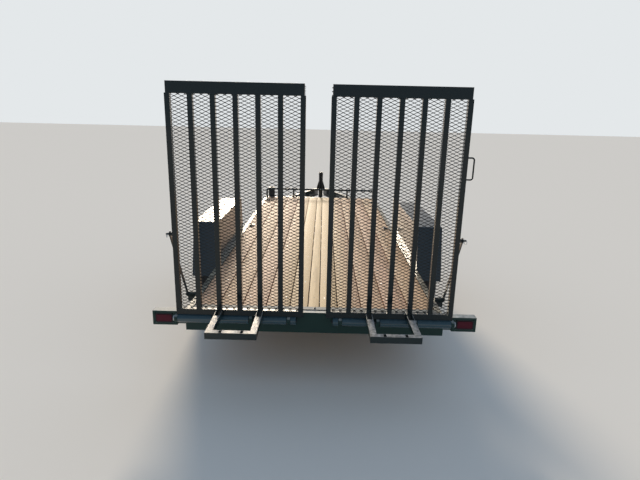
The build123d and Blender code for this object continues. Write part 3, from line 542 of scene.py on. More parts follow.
# Barrels are machined tube sprayed thinly: smoother than the rest; their teal-blue colour is a painted
# reflection of the blue sky
BARREL_COAT = PowderCoat(
    "barrel_powder_coat", Slot.RAMP, "#103b46", dust_share=0.08, roughness=0.2, specular=0.6, coat=0.8,
    peel_depth=0.0,
)
AXLE_COAT = PowderCoat("axle_black_paint", Slot.AXLE, "#0c0f10", roughness=0.42, dust_share=0.3)
COUPLER_COAT = PowderCoat("coupler_black_paint", Slot.COUPLER, "#090d0e", roughness=0.35)
JACK_COAT = PowderCoat("jack_paint_coat", Slot.JACK, "#0b0f11", roughness=0.32, coat=0.2)
PINE = TreatedPine("treated_pine", Slot.TIMBER)
RUBBER = TyreRubber("tyre_rubber", Slot.TYRE)
WHEEL_ENAMEL = SprayedEnamel("wheel_silver_enamel", Slot.RIM)
DRUM_IRON = BareMetal(
    "cast_drum_iron", Slot.HUB, "#1b1c1e", "#4a372a", cover=(0.4, 0.72, 0.0, 0.4), roughness=(0.42, 0.7),
    metallic=0.35, grain=3 * MM, grain_depth=0.3 * MM,
)
ZINC = BareMetal("zinc_plate", Slot.ZINC)
PIN_STEEL = BareMetal(
    "oiled_pin_steel", Slot.ZINC, "#24292c", "#3a332c", cover=(0.4, 0.72, 0.0, 0.3), roughness=(0.32, 0.6),
    metallic=0.5,
)
SPRING_BLACK = BareMetal(
    "spring_black_steel", Slot.SPRING, "#17191b", "#4b3a2e", cover=(0.4, 0.72, 0.0, 0.35),
    roughness=(0.34, 0.62), metallic=0.4, grain=2 * MM,
)
BOX_PLASTIC = MouldedPolymer("moulded_black_plastic", Slot.BOX)
GROMMET = MouldedPolymer("lamp_grommet_rubber", Slot.FRAME, "#0d0e0f", roughness=0.62)
LENS = AcrylicLens("red_acrylic_lens", Slot.LAMP)


def span(node: str) -> tuple[Vector, Vector, Vector]:
    """Lowest corner, highest corner and middle of a node at rest."""
    low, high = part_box(node)
    return low, high, (low + high) / 2


def measures(node: str, measure: Callable[[Vector], float], keep: Callable[[Vector], bool]) -> list[float]:
    """Distinct measures of the vertices to keep of a node, to a tenth of a millimetre and rising."""
    places = [vertex.co for vertex in frame["nodes"][node].data.vertices]
    return sorted({round(measure(place), 4) for place in places if keep(place)})


def at(*point: float) -> Matrix:
    """Matrix that carries a shape to a point."""
    return Matrix.Translation(point)


def facing(point: Iterable[float], axis: Iterable[float], spin: float = 0.0) -> Matrix:
    """Matrix that spins a shape about its +Z, turns that to an axis and carries the shape to a point."""
    turn = UP.rotation_difference(Vector(axis).normalized()).to_matrix().to_4x4()
    return Matrix.Translation(Vector(point)) @ turn @ Matrix.Rotation(spin, 4, "Z")


def rounded(shape: Shape, geom: Sequence, width: float, segments: int = 2, affect: str = "EDGES") -> None:
    """Round some edges, or corners where affect is VERTICES, to a width in steps."""
    bmesh.ops.bevel(
        shape, geom=geom, offset=width, segments=segments, profile=0.5, affect=affect, material=-1
    )


def extruded(shape: Shape, faces: Sequence, keep: bool = False) -> tuple[list, list]:
    """Extrude faces in place.

    Args:
        shape: Shape that the faces belong to.
        faces: The faces.
        keep: Whether the old faces stay.

    Returns:
        The new faces and their vertices.
    """
    grown = bmesh.ops.extrude_face_region(shape, geom=faces, use_keep_orig=keep)["geom"]
    kinds = (bmesh.types.BMFace, bmesh.types.BMVert)
    end, moved = [[item for item in grown if isinstance(item, kind)] for kind in kinds]
    return end, moved


def block(size: Iterable[float], bevel: float = 0.0, segments: int = 2) -> Shape:
    """Box about the origin with rounded edges.

    Args:
        size: Length along X, Y and Z.
        bevel: Width of the rounding, or 0 for none.
        segments: Steps of the rounding.

    Returns:
        A new mesh.
    """
    shape = bmesh.new()
    bmesh.ops.create_cube(shape, size=1.0)
    bmesh.ops.scale(shape, vec=Vector(size), verts=shape.verts)
    if bevel:
        rounded(shape, shape.edges[:], bevel, segments)
    return shape


def rod(radius: float, length: float, sides: int = 24, bevel: float = 0.0, tip: float = 1.0) -> Shape:
    """Solid round bar from the origin along +Z.

    Args:
        radius: Radius at the foot.
        length: Length along Z.
        sides: Number of sides.
        bevel: Width of the rounding at both ends, or 0 for none.
        tip: Share of the radius that is left at the far end.

    Returns:
        A new mesh.
    """
    shape = bmesh.new()
    bmesh.ops.create_cone(
        shape, cap_ends=True, segments=sides, radius1=radius, radius2=radius * tip, depth=length
    )
    bmesh.ops.translate(shape, vec=(0, 0, length / 2), verts=shape.verts)
    if bevel:
        rims = [edge for edge in shape.edges if abs(edge.verts[0].co.z - edge.verts[1].co.z) < length / 2]
        rounded(shape, rims, bevel)
    return shape


def outline(shape: Shape, profile: Sequence[tuple[float, float]], closed: bool = True) -> list:
    """Draw a profile in a shape, on the plane through the X axis.

    Args:
        shape: Shape that takes it.
        profile: Points as (place along X, radius).
        closed: Whether the last point joins the first.

    Returns:
        Its vertices and edges.
    """
    points = [shape.verts.new((x, 0, radius)) for x, radius in profile]
    following = points[1:] + (points[:1] if closed else [])
    return [*points, *[shape.edges.new(pair) for pair in zip(points, following)]]


def lathe(profile: Sequence[tuple[float, float]], steps: int, closed: bool = True) -> Shape:
    """Turn a profile about the X axis.

    Args:
        profile: Points as (place along X, radius).
        steps: Steps in the full turn.
        closed: Whether the last point joins the first.

    Returns:
        A new mesh with its faces pointing outwards.
    """
    shape = bmesh.new()
    line = outline(shape, profile, closed)
    bmesh.ops.spin(shape, geom=line, angle=FULL_TURN, steps=steps, use_merge=True, **ABOUT_X)
    bmesh.ops.remove_doubles(shape, verts=shape.verts, dist=MERGE_DISTANCE)
    bmesh.ops.recalc_face_normals(shape, faces=shape.faces)
    return shape


def bent_rod(
    radius: float, moves: Sequence[tuple[float, float]], sides: int = 12, arc_steps: int = 8
) -> Shape:
    """Round bar that starts at the origin along +Z and bends in the XZ plane.

    Args:
        radius: Radius of the bar.
        moves: Runs and bends in turn: (length, 0) runs straight, and (bend radius, degrees) bends
            towards +X.
        sides: Sides of the bar.
        arc_steps: Steps of each bend.

    Returns:
        A new mesh with closed ends.
    """
    shape = bmesh.new()
    bmesh.ops.create_circle(shape, cap_ends=True, radius=radius, segments=sides)
    end = shape.faces[:]
    point, heading = Vector((0, 0, 0)), 0.0
    for amount, degrees in moves:
        steps = arc_steps if degrees else 1
        turn = math.radians(degrees / steps)
        for _ in range(steps):
            if degrees:
                centre = point + amount * Vector((math.cos(heading), 0, -math.sin(heading)))
                matrix = at(*centre) @ Matrix.Rotation(turn, 4, "Y") @ at(*-centre)
            else:
                matrix = at(*(amount * Vector((math.sin(heading), 0, math.cos(heading)))))
            end, moved = extruded(shape, end)
            bmesh.ops.transform(shape, matrix=matrix, verts=moved)
            point = matrix @ point
            heading += turn
    bmesh.ops.recalc_face_normals(shape, faces=shape.faces)
    return shape


def wire_ring(radius: float, wire: float, steps: int = 28, sides: int = 10) -> Shape:
    """Ring about the X axis, of a radius to the middle of its wire and of the wire's own radius."""
    turns = [FULL_TURN * k / sides for k in range(sides)]
    return lathe([(wire * math.cos(turn), radius + wire * math.sin(turn)) for turn in turns], steps)


def joined(*parts: Part) -> Shape:
    """Carry shapes to their places and join them.

    Args:
        *parts: Shapes, each with the places of its copies. The shapes are freed.

    Returns:
        A new mesh of all the copies.
    """
    whole = bmesh.new()
    for shape, places in parts:
        carrier = bpy.data.meshes.new("carrier")
        shape.to_mesh(carrier)
        shape.free()
        for place in places:
            copy = carrier.copy()
            copy.transform(place)
            if place.determinant() < 0:
                copy.flip_normals()
            whole.from_mesh(copy)
            bpy.data.meshes.remove(copy)
        bpy.data.meshes.remove(carrier)
    return whole


def hex_bolt(across: float, washer: bool = True, tail: float = 0.0) -> Shape:
    """Hexagon bolt head or nut that stands on the XY plane.

    Args:
        across: Width across flats. The other sizes are shares of it.
        washer: Whether a washer lies under it.
        tail: Length of thread that stands out of it, or 0 for none.

    Returns:
        A new mesh.
    """
    seat = 0.14 * across if washer else 0.0
    parts = []
    if washer:
        parts.append((rod(0.92 * across, seat, 18, 0.02 * across), HERE))
    parts.append((rod(across / math.sqrt(3), 0.66 * across, 6, 0.06 * across), [at(0, 0, seat)]))
    if tail:
        parts.append((rod(0.31 * across, tail, 12, 0.04 * across), [at(0, 0, seat + 0.6 * across)]))
    return joined(*parts)


def weld_bead(
    run: float, throat: float = 3 * MM, pitch: float = 4 * MM, start: float = 0.55, neck: float = 0.78
) -> Shape:
    """Rippled weld bead from the origin along +Z.

    Args:
        run: Length of the bead.
        throat: Radius of the bead.
        pitch: Length of one ripple.
        start: Share of the radius at the bead's end.
        neck: Share of the radius between two ripples.

    Returns:
        A new mesh.
    """
    shape = bmesh.new()
    bmesh.ops.create_circle(shape, cap_ends=True, radius=start * throat, segments=7)
    end = shape.faces[:]
    ripples = max(2, round(run / pitch))
    for number in range(2 * ripples):
        end, moved = extruded(shape, end)
        bmesh.ops.translate(shape, vec=(0, 0, run / ripples / 2), verts=moved)
        share = neck if number % 2 else 1 / (neck if number else start)
        bmesh.ops.scale(shape, vec=(share, share, 1), verts=moved)
    bmesh.ops.recalc_face_normals(shape, faces=shape.faces)
    return shape


def fit(
    name: str, finish: Finish, node: str, *parts: Part, stands_for: bool = False, sharp: float = SHARP_ANGLE
) -> bpy.types.Object:
    """Join shapes into a piece of the trailer.

    Args:
        name: Name of the piece.
        finish: Its surface finish.
        node: Node of the frame that it moves with.
        *parts: Its shapes, each with the places of its copies.
        stands_for: Whether the piece is shown instead of that node.
        sharp: Angle above which an edge stays sharp, in radians.

    Returns:
        The piece.
    """
    shape = joined(*parts)
    mesh = bpy.data.meshes.new(name)
    shape.to_mesh(mesh)
    shape.free()
    mesh.shade_smooth()
    mesh.set_sharp_from_angle(angle=sharp)
    mesh.materials.append(finish.material())
    piece = bpy.data.objects.new(name, mesh)
    bpy.context.scene.collection.objects.link(piece)
    body = frame["nodes"][node]["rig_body"]
    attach(piece, body)
    if stands_for:
        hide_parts(node)
    LOG.info("%s: %d faces on %s", name, len(mesh.polygons), body)
    return piece


def modify(piece: bpy.types.Object, kind: str, **settings: object) -> None:
    """Add a modifier to a piece.

    Args:
        piece: The piece.
        kind: Blender's type name of the modifier.
        **settings: Attributes of the modifier.
    """
    modifier = piece.modifiers.new(kind.lower(), kind)
    for key, value in settings.items():
        setattr(modifier, key, value)


def dress(node: str, name: str, finish: Finish, bevel: float) -> None:
    """Stand a finished copy in for a steel node, with its sharp edges rounded.

    Args:
        node: Node that the copy stands for.
        name: Name of the new piece.
        finish: Its surface finish.
        bevel: Width of the rounded edges in millimetres, or 0 for none.
    """
    shape = bmesh.new()
    shape.from_mesh(frame["nodes"][node].data)
    bmesh.ops.remove_doubles(shape, verts=shape.verts, dist=MERGE_DISTANCE)
    bmesh.ops.dissolve_limit(shape, angle_limit=FLAT_ANGLE, verts=shape.verts, edges=shape.edges)
    piece = fit(name, finish, node, (shape, HERE), stands_for=True)
    if bevel:
        modify(
            piece, "BEVEL", width=bevel * MM, segments=2, limit_method="ANGLE", angle_limit=ROUNDING_ANGLE,
            use_clamp_overlap=True, harden_normals=True, material=-1,
        )


@dataclass
class SteelWork:
    """Steel pieces whose shape is the frame's own: each gets rounded edges and its paint."""

    # Node, name of the dressed piece, finish, rounding in millimetres
    rows: tuple[tuple[str, str, Finish, float], ...] = (
        ("side_rail_left", "side_rail_left_steel", RAIL_COAT, 1.5),
        ("side_rail_right", "side_rail_right_steel", RAIL_COAT, 1.5),
        ("rear_sill", "rear_sill_steel", SILL_COAT, 1.5),
        ("front_sill", "front_sill_steel", FRAME_COAT, 1.5),
        ("crossmembers", "crossmember_channels", FRAME_COAT, 1.0),
        ("board_retainer", "board_retainer_bar", RETAINER_COAT, 1.0),
        ("tongue_left", "tongue_left_channel", FRAME_COAT, 1.5),
        ("tongue_right", "tongue_right_channel", FRAME_COAT, 1.5),
        ("tongue_plate", "tongue_top_plate", FRAME_COAT, 1.0),
        ("coupler", "coupler_pressing", COUPLER_COAT, 1.5),
        ("jack_housing", "jack_outer_tube", JACK_COAT, 1.0),
        ("jack_leg", "jack_inner_leg", ZINC, 0.8),
        ("bump_rail", "bump_rail_tube", FRAME_COAT, 0.0),
        ("corner_box", "corner_box_case", BOX_PLASTIC, 0.8),
        ("fender_left", "fender_left_sheet", FENDER_COAT, 1.2),
        ("fender_right", "fender_right_sheet", FENDER_COAT, 1.2),
        ("hinge_pins", "hinge_pin_bars", PIN_STEEL, 1.2),
        ("axle_rear", "axle_rear_tube", AXLE_COAT, 1.5),
        ("axle_front", "axle_front_tube", AXLE_COAT, 1.5),
        ("leaf_springs", "leaf_spring_packs", SPRING_BLACK, 0.8),
        ("spring_hangers", "spring_hanger_forks", FRAME_COAT, 1.0),
        ("equalizers", "equalizer_plates", SPRING_BLACK, 0.8),
        ("tie_rings", "tie_down_rings", FRAME_COAT, 0.0),
        ("ramp_left_frame", "ramp_left_bars", RAMP_COAT, 1.8),
        ("ramp_right_frame", "ramp_right_bars", RAMP_COAT, 1.8),
        ("ramp_left_foot", "ramp_left_foot_channel", FOOT_COAT, 1.0),
        ("ramp_right_foot", "ramp_right_foot_channel", FOOT_COAT, 1.0),
        ("ramp_right_handle", "ramp_right_pull_handle", RAMP_COAT, 0.0),
        ("brace_left", "brace_left_bar", RAMP_COAT, 1.0),
        ("brace_right", "brace_right_bar", RAMP_COAT, 1.0),
    )

    def build(self) -> None:
        """Dress every row."""
        for row in self.rows:
            dress(*row)


@dataclass
class TimberDeck:
    """Treated boards with worn edges, self-drilling screws and a screwed-down retainer bar."""

    # Share of the pinker wood in each board, from left to right
    tones: tuple[float, ...] = (0.9, 0.7, 1.0, 0.85, 0.1, 0.0, 0.12, 0.95, 0.75, 1.0, 0.6)
    worn_edge: float = 1.2 * MM
    # Damp boards swell and nearly close their gaps
    swell: float = 0.9 * MM
    screw_radius: float = 6.5 * MM
    screw_height: float = 1.2 * MM
    screw_sunk: float = 0.4 * MM
    recess: tuple[float, float] = (2.4 * MM, 0.3 * MM)
    recess_rise: float = 1.0 * MM
    screw_inset: float = 38 * MM
    bolt_size: float = 11 * MM
    channel_width: float = 60 * MM
    seed: int = 5

    def build(self) -> None:
        """Make the boards, their screws and the retainer's screw."""
        node = "deck_boards"
        low, high, middle = span(node)
        xs = measures(node, lambda place: place.x, lambda place: place.z < low.z + MM)
        edges = list(zip(xs[::2], xs[1::2]))
        boards = []
        for left, right in edges:
            board = block((right - left + 2 * self.swell, high.y - low.y, high.z - low.z))
            upper = [
                edge for edge in board.edges
                if edge.verts[0].co.z > 0 and abs(edge.verts[0].co.y - edge.verts[1].co.y) > 1
            ]
            rounded(board, upper, self.worn_edge, 3)
            boards.append((board, [at((left + right) / 2, middle.y, middle.z)]))
        piece = fit("timber_boards", PINE, node, *boards, stands_for=True)
        self.mark_boards(piece.data, edges)
        self.screws(edges, high.z)

    def mark_boards(self, mesh: bpy.types.Mesh, edges: Sequence[tuple[float, float]]) -> None:
        """Give each board its own tone and its own stretch of grain.

        Args:
            mesh: Mesh of all boards.
            edges: Left and right edge of each board.
        """
        draw = random.Random(self.seed)
        seeds = [draw.uniform(0, 40) for _ in edges]
        middles = [(left + right) / 2 for left, right in edges]
        tone = mesh.attributes.new("board_tone", "FLOAT", "POINT")
        seed = mesh.attributes.new("board_seed", "FLOAT", "POINT")
        for number, vertex in enumerate(mesh.vertices):
            board = min(range(len(middles)), key=lambda k: abs(vertex.co.x - middles[k]))
            tone.data[number].value = self.tones[board % len(self.tones)]
            seed.data[number].value = seeds[board]

    def screws(self, edges: Sequence[tuple[float, float]], top: float) -> None:
        """Set two screws in each board over each crossmember, and one in the middle of the retainer.

        Args:
            edges: Left and right edge of each board.
            top: Height of the deck.
        """
        places = []
        for left, right in edges:
            for y in self.stations():
                for x in (left + self.screw_inset, right - self.screw_inset):
                    if right - left < 3 * self.screw_inset:
                        x = (left + right) / 2
                    places.append(at(x, y, top - self.screw_sunk))
        head = rod(self.screw_radius, self.screw_height, 10, tip=0.7)
        recesses = [place @ at(0, 0, self.recess_rise) for place in places]
        fit("deck_screws", ZINC, "deck_boards", (head, places), (rod(*self.recess, 6), recesses))
        _, high, middle = span("board_retainer")
        bolt = (hex_bolt(self.bolt_size), [facing((middle.x, middle.y, high.z), UP, 0.3)])
        fit("retainer_screw", FRAME_COAT, "board_retainer", bolt)

    def stations(self) -> list[float]:
        """Find the crossmembers by their upper flanges.

        Returns:
            Y of the middle of each flange, from the rear forwards.
        """
        top = span("crossmembers")[1].z
        groups: list[list[float]] = []
        for y in measures("crossmembers", lambda place: place.y, lambda place: place.z > top - MM):
            if groups and y - groups[-1][0] < self.channel_width:
                groups[-1].append(y)
            else:
                groups.append([y])
        return [(group[0] + group[-1]) / 2 for group in groups]


@dataclass
class RampGate:
    """One stand-up ramp gate: expanded metal on tube bars, welded, with a pull ring on its brace."""

    side: Side
    # Real pitch of the raised expanded metal, long way and short way of a diamond
    long_way: float = 56 * MM
    short_way: float = 26 * MM
    bond: float = 6 * MM
    strand_width: float = 4.2 * MM
    # How far two strands run into each other where they bond
    bond_lap: float = 1.8 * MM
    strand_gauge: float = 2.6 * MM
    lean: float = math.radians(24)
    bar_count: int = 7
    bar: float = 38 * MM
    bottom_rail_top: float = 32 * MM
    top_member: float = 84 * MM
    weld: float = 3 * MM
    weld_inset: float = 1 * MM
    weld_proud: float = 0.4 * MM
    sleeve_skin: float = 0.3 * MM
    sleeve_edge: float = 1.5 * MM
    sleeve_steps: int = 48
    pin_bore: float = 13.5 * MM
    # Ring and cotter, and how far back from the pull pin's tip they hang
    ring_radius: float = 15 * MM
    ring_wire: float = 1.8 * MM
    ring_back: float = 5 * MM
    cotter: tuple[float, float] = (1.6 * MM, 24 * MM)
    cotter_back: float = 13 * MM

    def strand(self, phase: float, low_x: float, high_x: float) -> Shape:
        """One zigzag strand of the metal, cut to the panel's width.

        Args:
            phase: Place of its first lower bond, as a share of the long way.
            low_x: Left edge of the panel.
            high_x: Right edge of the panel.

        Returns:
            The strand, with its lower bonds centred on Z of 0.
        """
        shape = bmesh.new()
        bmesh.ops.create_grid(shape, x_segments=1, y_segments=1, size=0.5)
        bmesh.ops.scale(shape, vec=(self.strand_width, self.strand_gauge, 1), verts=shape.verts)
        for turn, axis in ((self.lean, "Z"), (QUARTER_TURN, "Y")):
            bmesh.ops.transform(shape, matrix=Matrix.Rotation(turn, 4, axis), verts=shape.verts)
        start = low_x - self.long_way * (1 + phase) - self.bond / 2
        bmesh.ops.translate(shape, vec=(start, 0, 0), verts=shape.verts)
        rise = self.short_way / 2 - self.strand_width + self.bond_lap
        slope = self.long_way / 2 - self.bond
        periods = math.ceil((high_x - start) / self.long_way) + 1
        end = shape.faces[:]
        for run, lift in ((self.bond, 0.0), (slope, rise), (self.bond, 0.0), (slope, -rise)) * periods:
            end, moved = extruded(shape, end)
            bmesh.ops.translate(shape, vec=(run, 0, lift), verts=moved)
        for x, away in ((low_x, -1), (high_x, 1)):
            bmesh.ops.bisect_plane(
                shape, geom=[*shape.verts, *shape.edges, *shape.faces], plane_co=(x, 0, 0),
                plane_no=(away, 0, 0), clear_outer=True,
            )
        bmesh.ops.holes_fill(shape, edges=[edge for edge in shape.edges if edge.is_boundary], sides=0)
        bmesh.ops.recalc_face_normals(shape, faces=shape.faces)
        return shape

    def expanded_metal(self) -> None:
        """Stack the strands over the whole panel, each half a diamond along from the one below."""
        node = f"ramp_{self.side.label}_mesh"
        low, high, middle = span(node)
        step = self.short_way / 2
        margin = self.strand_width / 2
        rows = int((high.z - low.z - 2 * margin) / step)
        strands = []
        for first, phase in enumerate((0.0, 0.5)):
            places = [at(0, middle.y, low.z + margin + row * step) for row in range(first, rows, 2)]
            strands.append((self.strand(phase, low.x, high.x), places))
        fit(f"expanded_metal_{self.side.label}", MESH_COAT, node, *strands, stands_for=True)

    def welds(self) -> None:
        """Run a fillet weld across the foot and the head of each bar."""
        node = f"ramp_{self.side.label}_frame"
        low, high, _ = span(node)
        rear = span(f"ramp_{self.side.label}_mesh")[0].y - self.bar
        pitch = (high.x - low.x - self.bar) / (self.bar_count - 1)
        ends = (span("deck_boards")[1].z + self.bottom_rail_top, high.z - self.top_member)
        places = [
            facing((low.x + k * pitch + self.weld_inset, rear + self.weld_proud, z), RIGHT)
            for k in range(self.bar_count) for z in ends
        ]
        bead = weld_bead(self.bar - 2 * self.weld_inset, self.weld)
        fit(f"ramp_welds_{self.side.label}", RAMP_COAT, node, (bead, places))

    def barrel_sleeves(self) -> None:
        """Lay the smoother coat, painted teal-blue as a reflection of the sky, over each hinge barrel as a
        thin skin.
        """
        node = f"ramp_{self.side.label}_frame"
        sign = self.side.value
        axis = span("hinge_pins")[2]
        radius = axis.z - span(node)[0].z
        ends = measures(
            node, lambda place: abs(place.x),
            lambda place: abs(math.hypot(place.y - axis.y, place.z - axis.z) - radius) < 0.2 * MM,
        )
        skin, edge = self.sleeve_skin, self.sleeve_edge
        sleeves = []
        for inner, outer in zip(ends[::2], ends[1::2]):
            length = outer - inner + 2 * skin
            line = [
                (0, self.pin_bore), (0, radius - edge), (edge, radius + skin), (length - edge, radius + skin),
                (length, radius - edge), (length, self.pin_bore),
            ]
            start = at(sign * (inner - skin), axis.y, axis.z)
            sleeves.append((lathe(line, self.sleeve_steps), [start @ Matrix.Diagonal((sign, 1, 1, 1))]))
        fit(f"hinge_barrels_{self.side.label}", BARREL_COAT, node, *sleeves)

    def pull_ring(self) -> None:
        """Hang a wire ring and a cotter on the brace's pull pin."""
        node = f"brace_{self.side.label}"
        low, high, _ = span(node)
        sign = self.side.value
        tip_x = high.x if self.side is Side.RIGHT else low.x
        tip = [v.co for v in frame["nodes"][node].data.vertices if abs(v.co.x - tip_x) < 0.5 * MM]
        y = sum(place.y for place in tip) / len(tip)
        z = sum(place.z for place in tip) / len(tip)
        hung = at(tip_x - sign * self.ring_back, y, z - self.ring_radius + 2 * MM)
        through = facing((tip_x - sign * self.cotter_back, y, z + self.cotter[1] / 2), -UP)
        fit(
            f"pull_ring_{self.side.label}", ZINC, node,
            (wire_ring(self.ring_radius, self.ring_wire), [hung @ Matrix.Rotation(0.5, 4, "Z")]),
            (rod(*self.cotter, 10, 0.4 * MM), [through]),
        )

    def build(self) -> None:
        """Make the metal, the welds, the barrels' coat and the brace's ring."""
        self.expanded_metal()
        self.welds()
        self.barrel_sleeves()
        self.pull_ring()


@dataclass
class TandemWheel:
    """One wheel: ribbed tyre, dished silver wheel with hand holes, lug nuts and valve."""

    side: Side
    axle: AxlePlace
    pitches: int = 68
    lug_share: float = 0.78
    shoulder: tuple[float, float] = (57 * MM, 96 * MM)
    shoulder_radius: float = 360 * MM
    groove_draft: float = 0.6 * MM
    groove_depth: float = 6 * MM
    barrel_steps: int = 72
    disc_steps: int = 48
    disc_wall: float = 7 * MM
    disc_face: float = 7.5 * MM
    hand_hole: tuple[float, float] = (135 * MM, 165 * MM)
    lug_count: int = 8
    lug_circle: float = 82.5 * MM
    nut_size: float = 21 * MM
    nut_cone: tuple[float, float] = (12 * MM, 4 * MM)
    valve: tuple[float, float] = (5.5 * MM, 26 * MM)
    valve_circle: float = 171 * MM
    # Place from the middle of the tyre and radius, from the tread's middle to the bead, in millimetres
    tyre_half: tuple[tuple[float, float], ...] = (
        (13.5, 391), (14.5, 382), (21.5, 382), (22.5, 390.6), (47.5, 389.4), (48.5, 381), (55.5, 380.6),
        (56.5, 388.6), (80, 386), (87, 381), (92, 372), (97.5, 356), (103, 337), (108, 308), (110.4, 276),
        (109, 250), (104.5, 232), (103, 228), (104.5, 224), (101, 214), (94, 207), (88, 203.5), (70, 203.5),
    )
    # The drop-centre barrel's line towards the tyre, then its inner line back
    barrel: tuple[tuple[float, float], ...] = (
        (100, 212), (98, 214), (95, 213.5), (92, 207), (89, 204), (55, 203), (47, 186), (43, 184), (-17, 184),
        (-22, 186), (-30, 203), (-89, 204), (-92, 207), (-95, 213.5), (-98, 214), (-100, 212), (-96, 203),
        (-91, 197.5), (-33, 197), (-24, 180), (-19, 178), (45, 178), (49, 180), (57, 197), (91, 197.5),
        (96, 203),
    )
    # The disc from its bore to the barrel
    dish: tuple[tuple[float, float], ...] = (
        (4, 62), (4, 102), (8, 111), (15, 119), (20, 127), (20, 135), (20, 165), (20, 179),
    )

    @property
    def tag(self) -> str:
        """Place of the wheel as the nodes spell it."""
        return f"{self.axle.label}_{self.side.label}"

    def place(self) -> Matrix:
        """Matrix that carries a shape about the X axis to the wheel, outboard along +X."""
        return at(*span(f"tyre_{self.tag}")[2]) @ Matrix.Diagonal((self.side.value, 1, 1, 1))

    def tyre(self) -> None:
        """Turn one pitch of tread, sink its cross groove, and repeat it round the tyre."""
        shape = bmesh.new()
        half = [(x * MM, radius * MM) for x, radius in self.tyre_half]
        line = outline(shape, half + [(-x, radius) for x, radius in reversed(half)])
        pitch = FULL_TURN / self.pitches
        lug_turn = pitch * self.lug_share
        for turn in (lug_turn, pitch - lug_turn):
            line = bmesh.ops.spin(shape, geom=line, angle=turn, steps=1, **ABOUT_X)["geom_last"]
        bmesh.ops.recalc_face_normals(shape, faces=shape.faces)
        grooves = []
        for face in shape.faces:
            centre = face.calc_center_median()
            past_lug = abs(math.atan2(-centre.y, centre.z)) > lug_turn
            outer = math.hypot(centre.y, centre.z) > self.shoulder_radius
            if past_lug and outer and self.shoulder[0] < abs(centre.x) < self.shoulder[1]:
                grooves.append(face)
        bmesh.ops.inset_region(
            shape, faces=grooves, thickness=self.groove_draft, depth=-self.groove_depth, use_even_offset=True
        )
        bmesh.ops.spin(
            shape, geom=[*shape.verts, *shape.edges, *shape.faces], angle=FULL_TURN - pitch,
            steps=self.pitches - 1, use_duplicate=True, **ABOUT_X,
        )
        bmesh.ops.remove_doubles(shape, verts=shape.verts, dist=TREAD_MERGE_DISTANCE)
        bmesh.ops.recalc_face_normals(shape, faces=shape.faces)
        fit(
            f"tread_tyre_{self.tag}", RUBBER, f"tyre_{self.tag}", (shape, [self.place()]), stands_for=True,
            sharp=TREAD_SHARP_ANGLE,
        )

    def disc(self) -> Shape:
        """Turn the dished disc and cut its hand holes.

        Returns:
            The disc as a sheet about the X axis. Its thickness comes from a modifier.
        """
        shape = lathe([(x * MM, radius * MM) for x, radius in self.dish], self.disc_steps, closed=False)
        per_hole = self.disc_steps // self.lug_count
        holes = []
        for face in shape.faces:
            centre = face.calc_center_median()
            turn = math.atan2(centre.y, centre.z) % FULL_TURN
            step = int(turn / FULL_TURN * self.disc_steps)
            radius = math.hypot(centre.y, centre.z)
            if self.hand_hole[0] < radius < self.hand_hole[1] and step % per_hole in (0, 1):
                holes.append(face)
        bmesh.ops.delete(shape, geom=holes, context="FACES")
        return shape

    def wheel(self) -> None:
        """Make the silver wheel from its barrel and its disc."""
        node = f"rim_{self.tag}"
        barrel = lathe([(x * MM, radius * MM) for x, radius in self.barrel], self.barrel_steps)
        fit(f"wheel_barrel_{self.tag}", WHEEL_ENAMEL, node, (barrel, [self.place()]), stands_for=True)
        disc = fit(f"wheel_disc_{self.tag}", WHEEL_ENAMEL, node, (self.disc(), [self.place()]))
        modify(disc, "SOLIDIFY", thickness=self.disc_wall, offset=0)
        modify(disc, "SUBSURF", levels=2, render_levels=2)

    def small_parts(self) -> None:
        """Set the lug nuts on the disc and the valve through it."""
        place = self.place()
        nut = joined(
            (rod(*self.nut_cone, 20, tip=0.85), [at(0, 0, -2 * MM)]),
            (hex_bolt(self.nut_size, washer=False, tail=6 * MM), [at(0, 0, 2 * MM)]),
        )
        seats = []
        for k in range(self.lug_count):
            turn = FULL_TURN * k / self.lug_count
            point = (self.disc_face, self.lug_circle * math.sin(turn), self.lug_circle * math.cos(turn))
            seats.append(place @ facing(point, RIGHT, turn))
        stem = rod(*self.valve, 14, 1 * MM, tip=0.7)
        through = place @ facing((18 * MM, 0, -self.valve_circle), (1, 0, -0.15))
        fit(f"lug_nuts_{self.tag}", ZINC, f"rim_{self.tag}", (nut, seats), (stem, [through]))

    def build(self) -> None:
        """Make the tyre, the wheel, its nuts and the hub's finish."""
        self.tyre()
        self.wheel()
        self.small_parts()
        dress(f"hub_{self.tag}", f"brake_drum_{self.tag}", DRUM_IRON, 1.0)


@dataclass
class HingePinHeads:
    """Pale plated heads on the outer ends of the two dark hinge pins."""

    skin: float = 0.4 * MM
    thickness: float = 9 * MM
    edge: float = 1.5 * MM

    def build(self) -> None:
        """Cover each head."""
        _, high, middle = span("hinge_pins")
        heads = []
        for side in Side:
            start = side.value * (high.x - self.thickness - self.skin)
            head = rod(high.z - middle.z + self.skin, self.thickness + 2 * self.skin, 32, self.edge)
            heads.append((head, [facing((start, middle.y, middle.z), side.value * RIGHT)]))
        fit("hinge_pin_heads", ZINC, "hinge_pins", *heads)


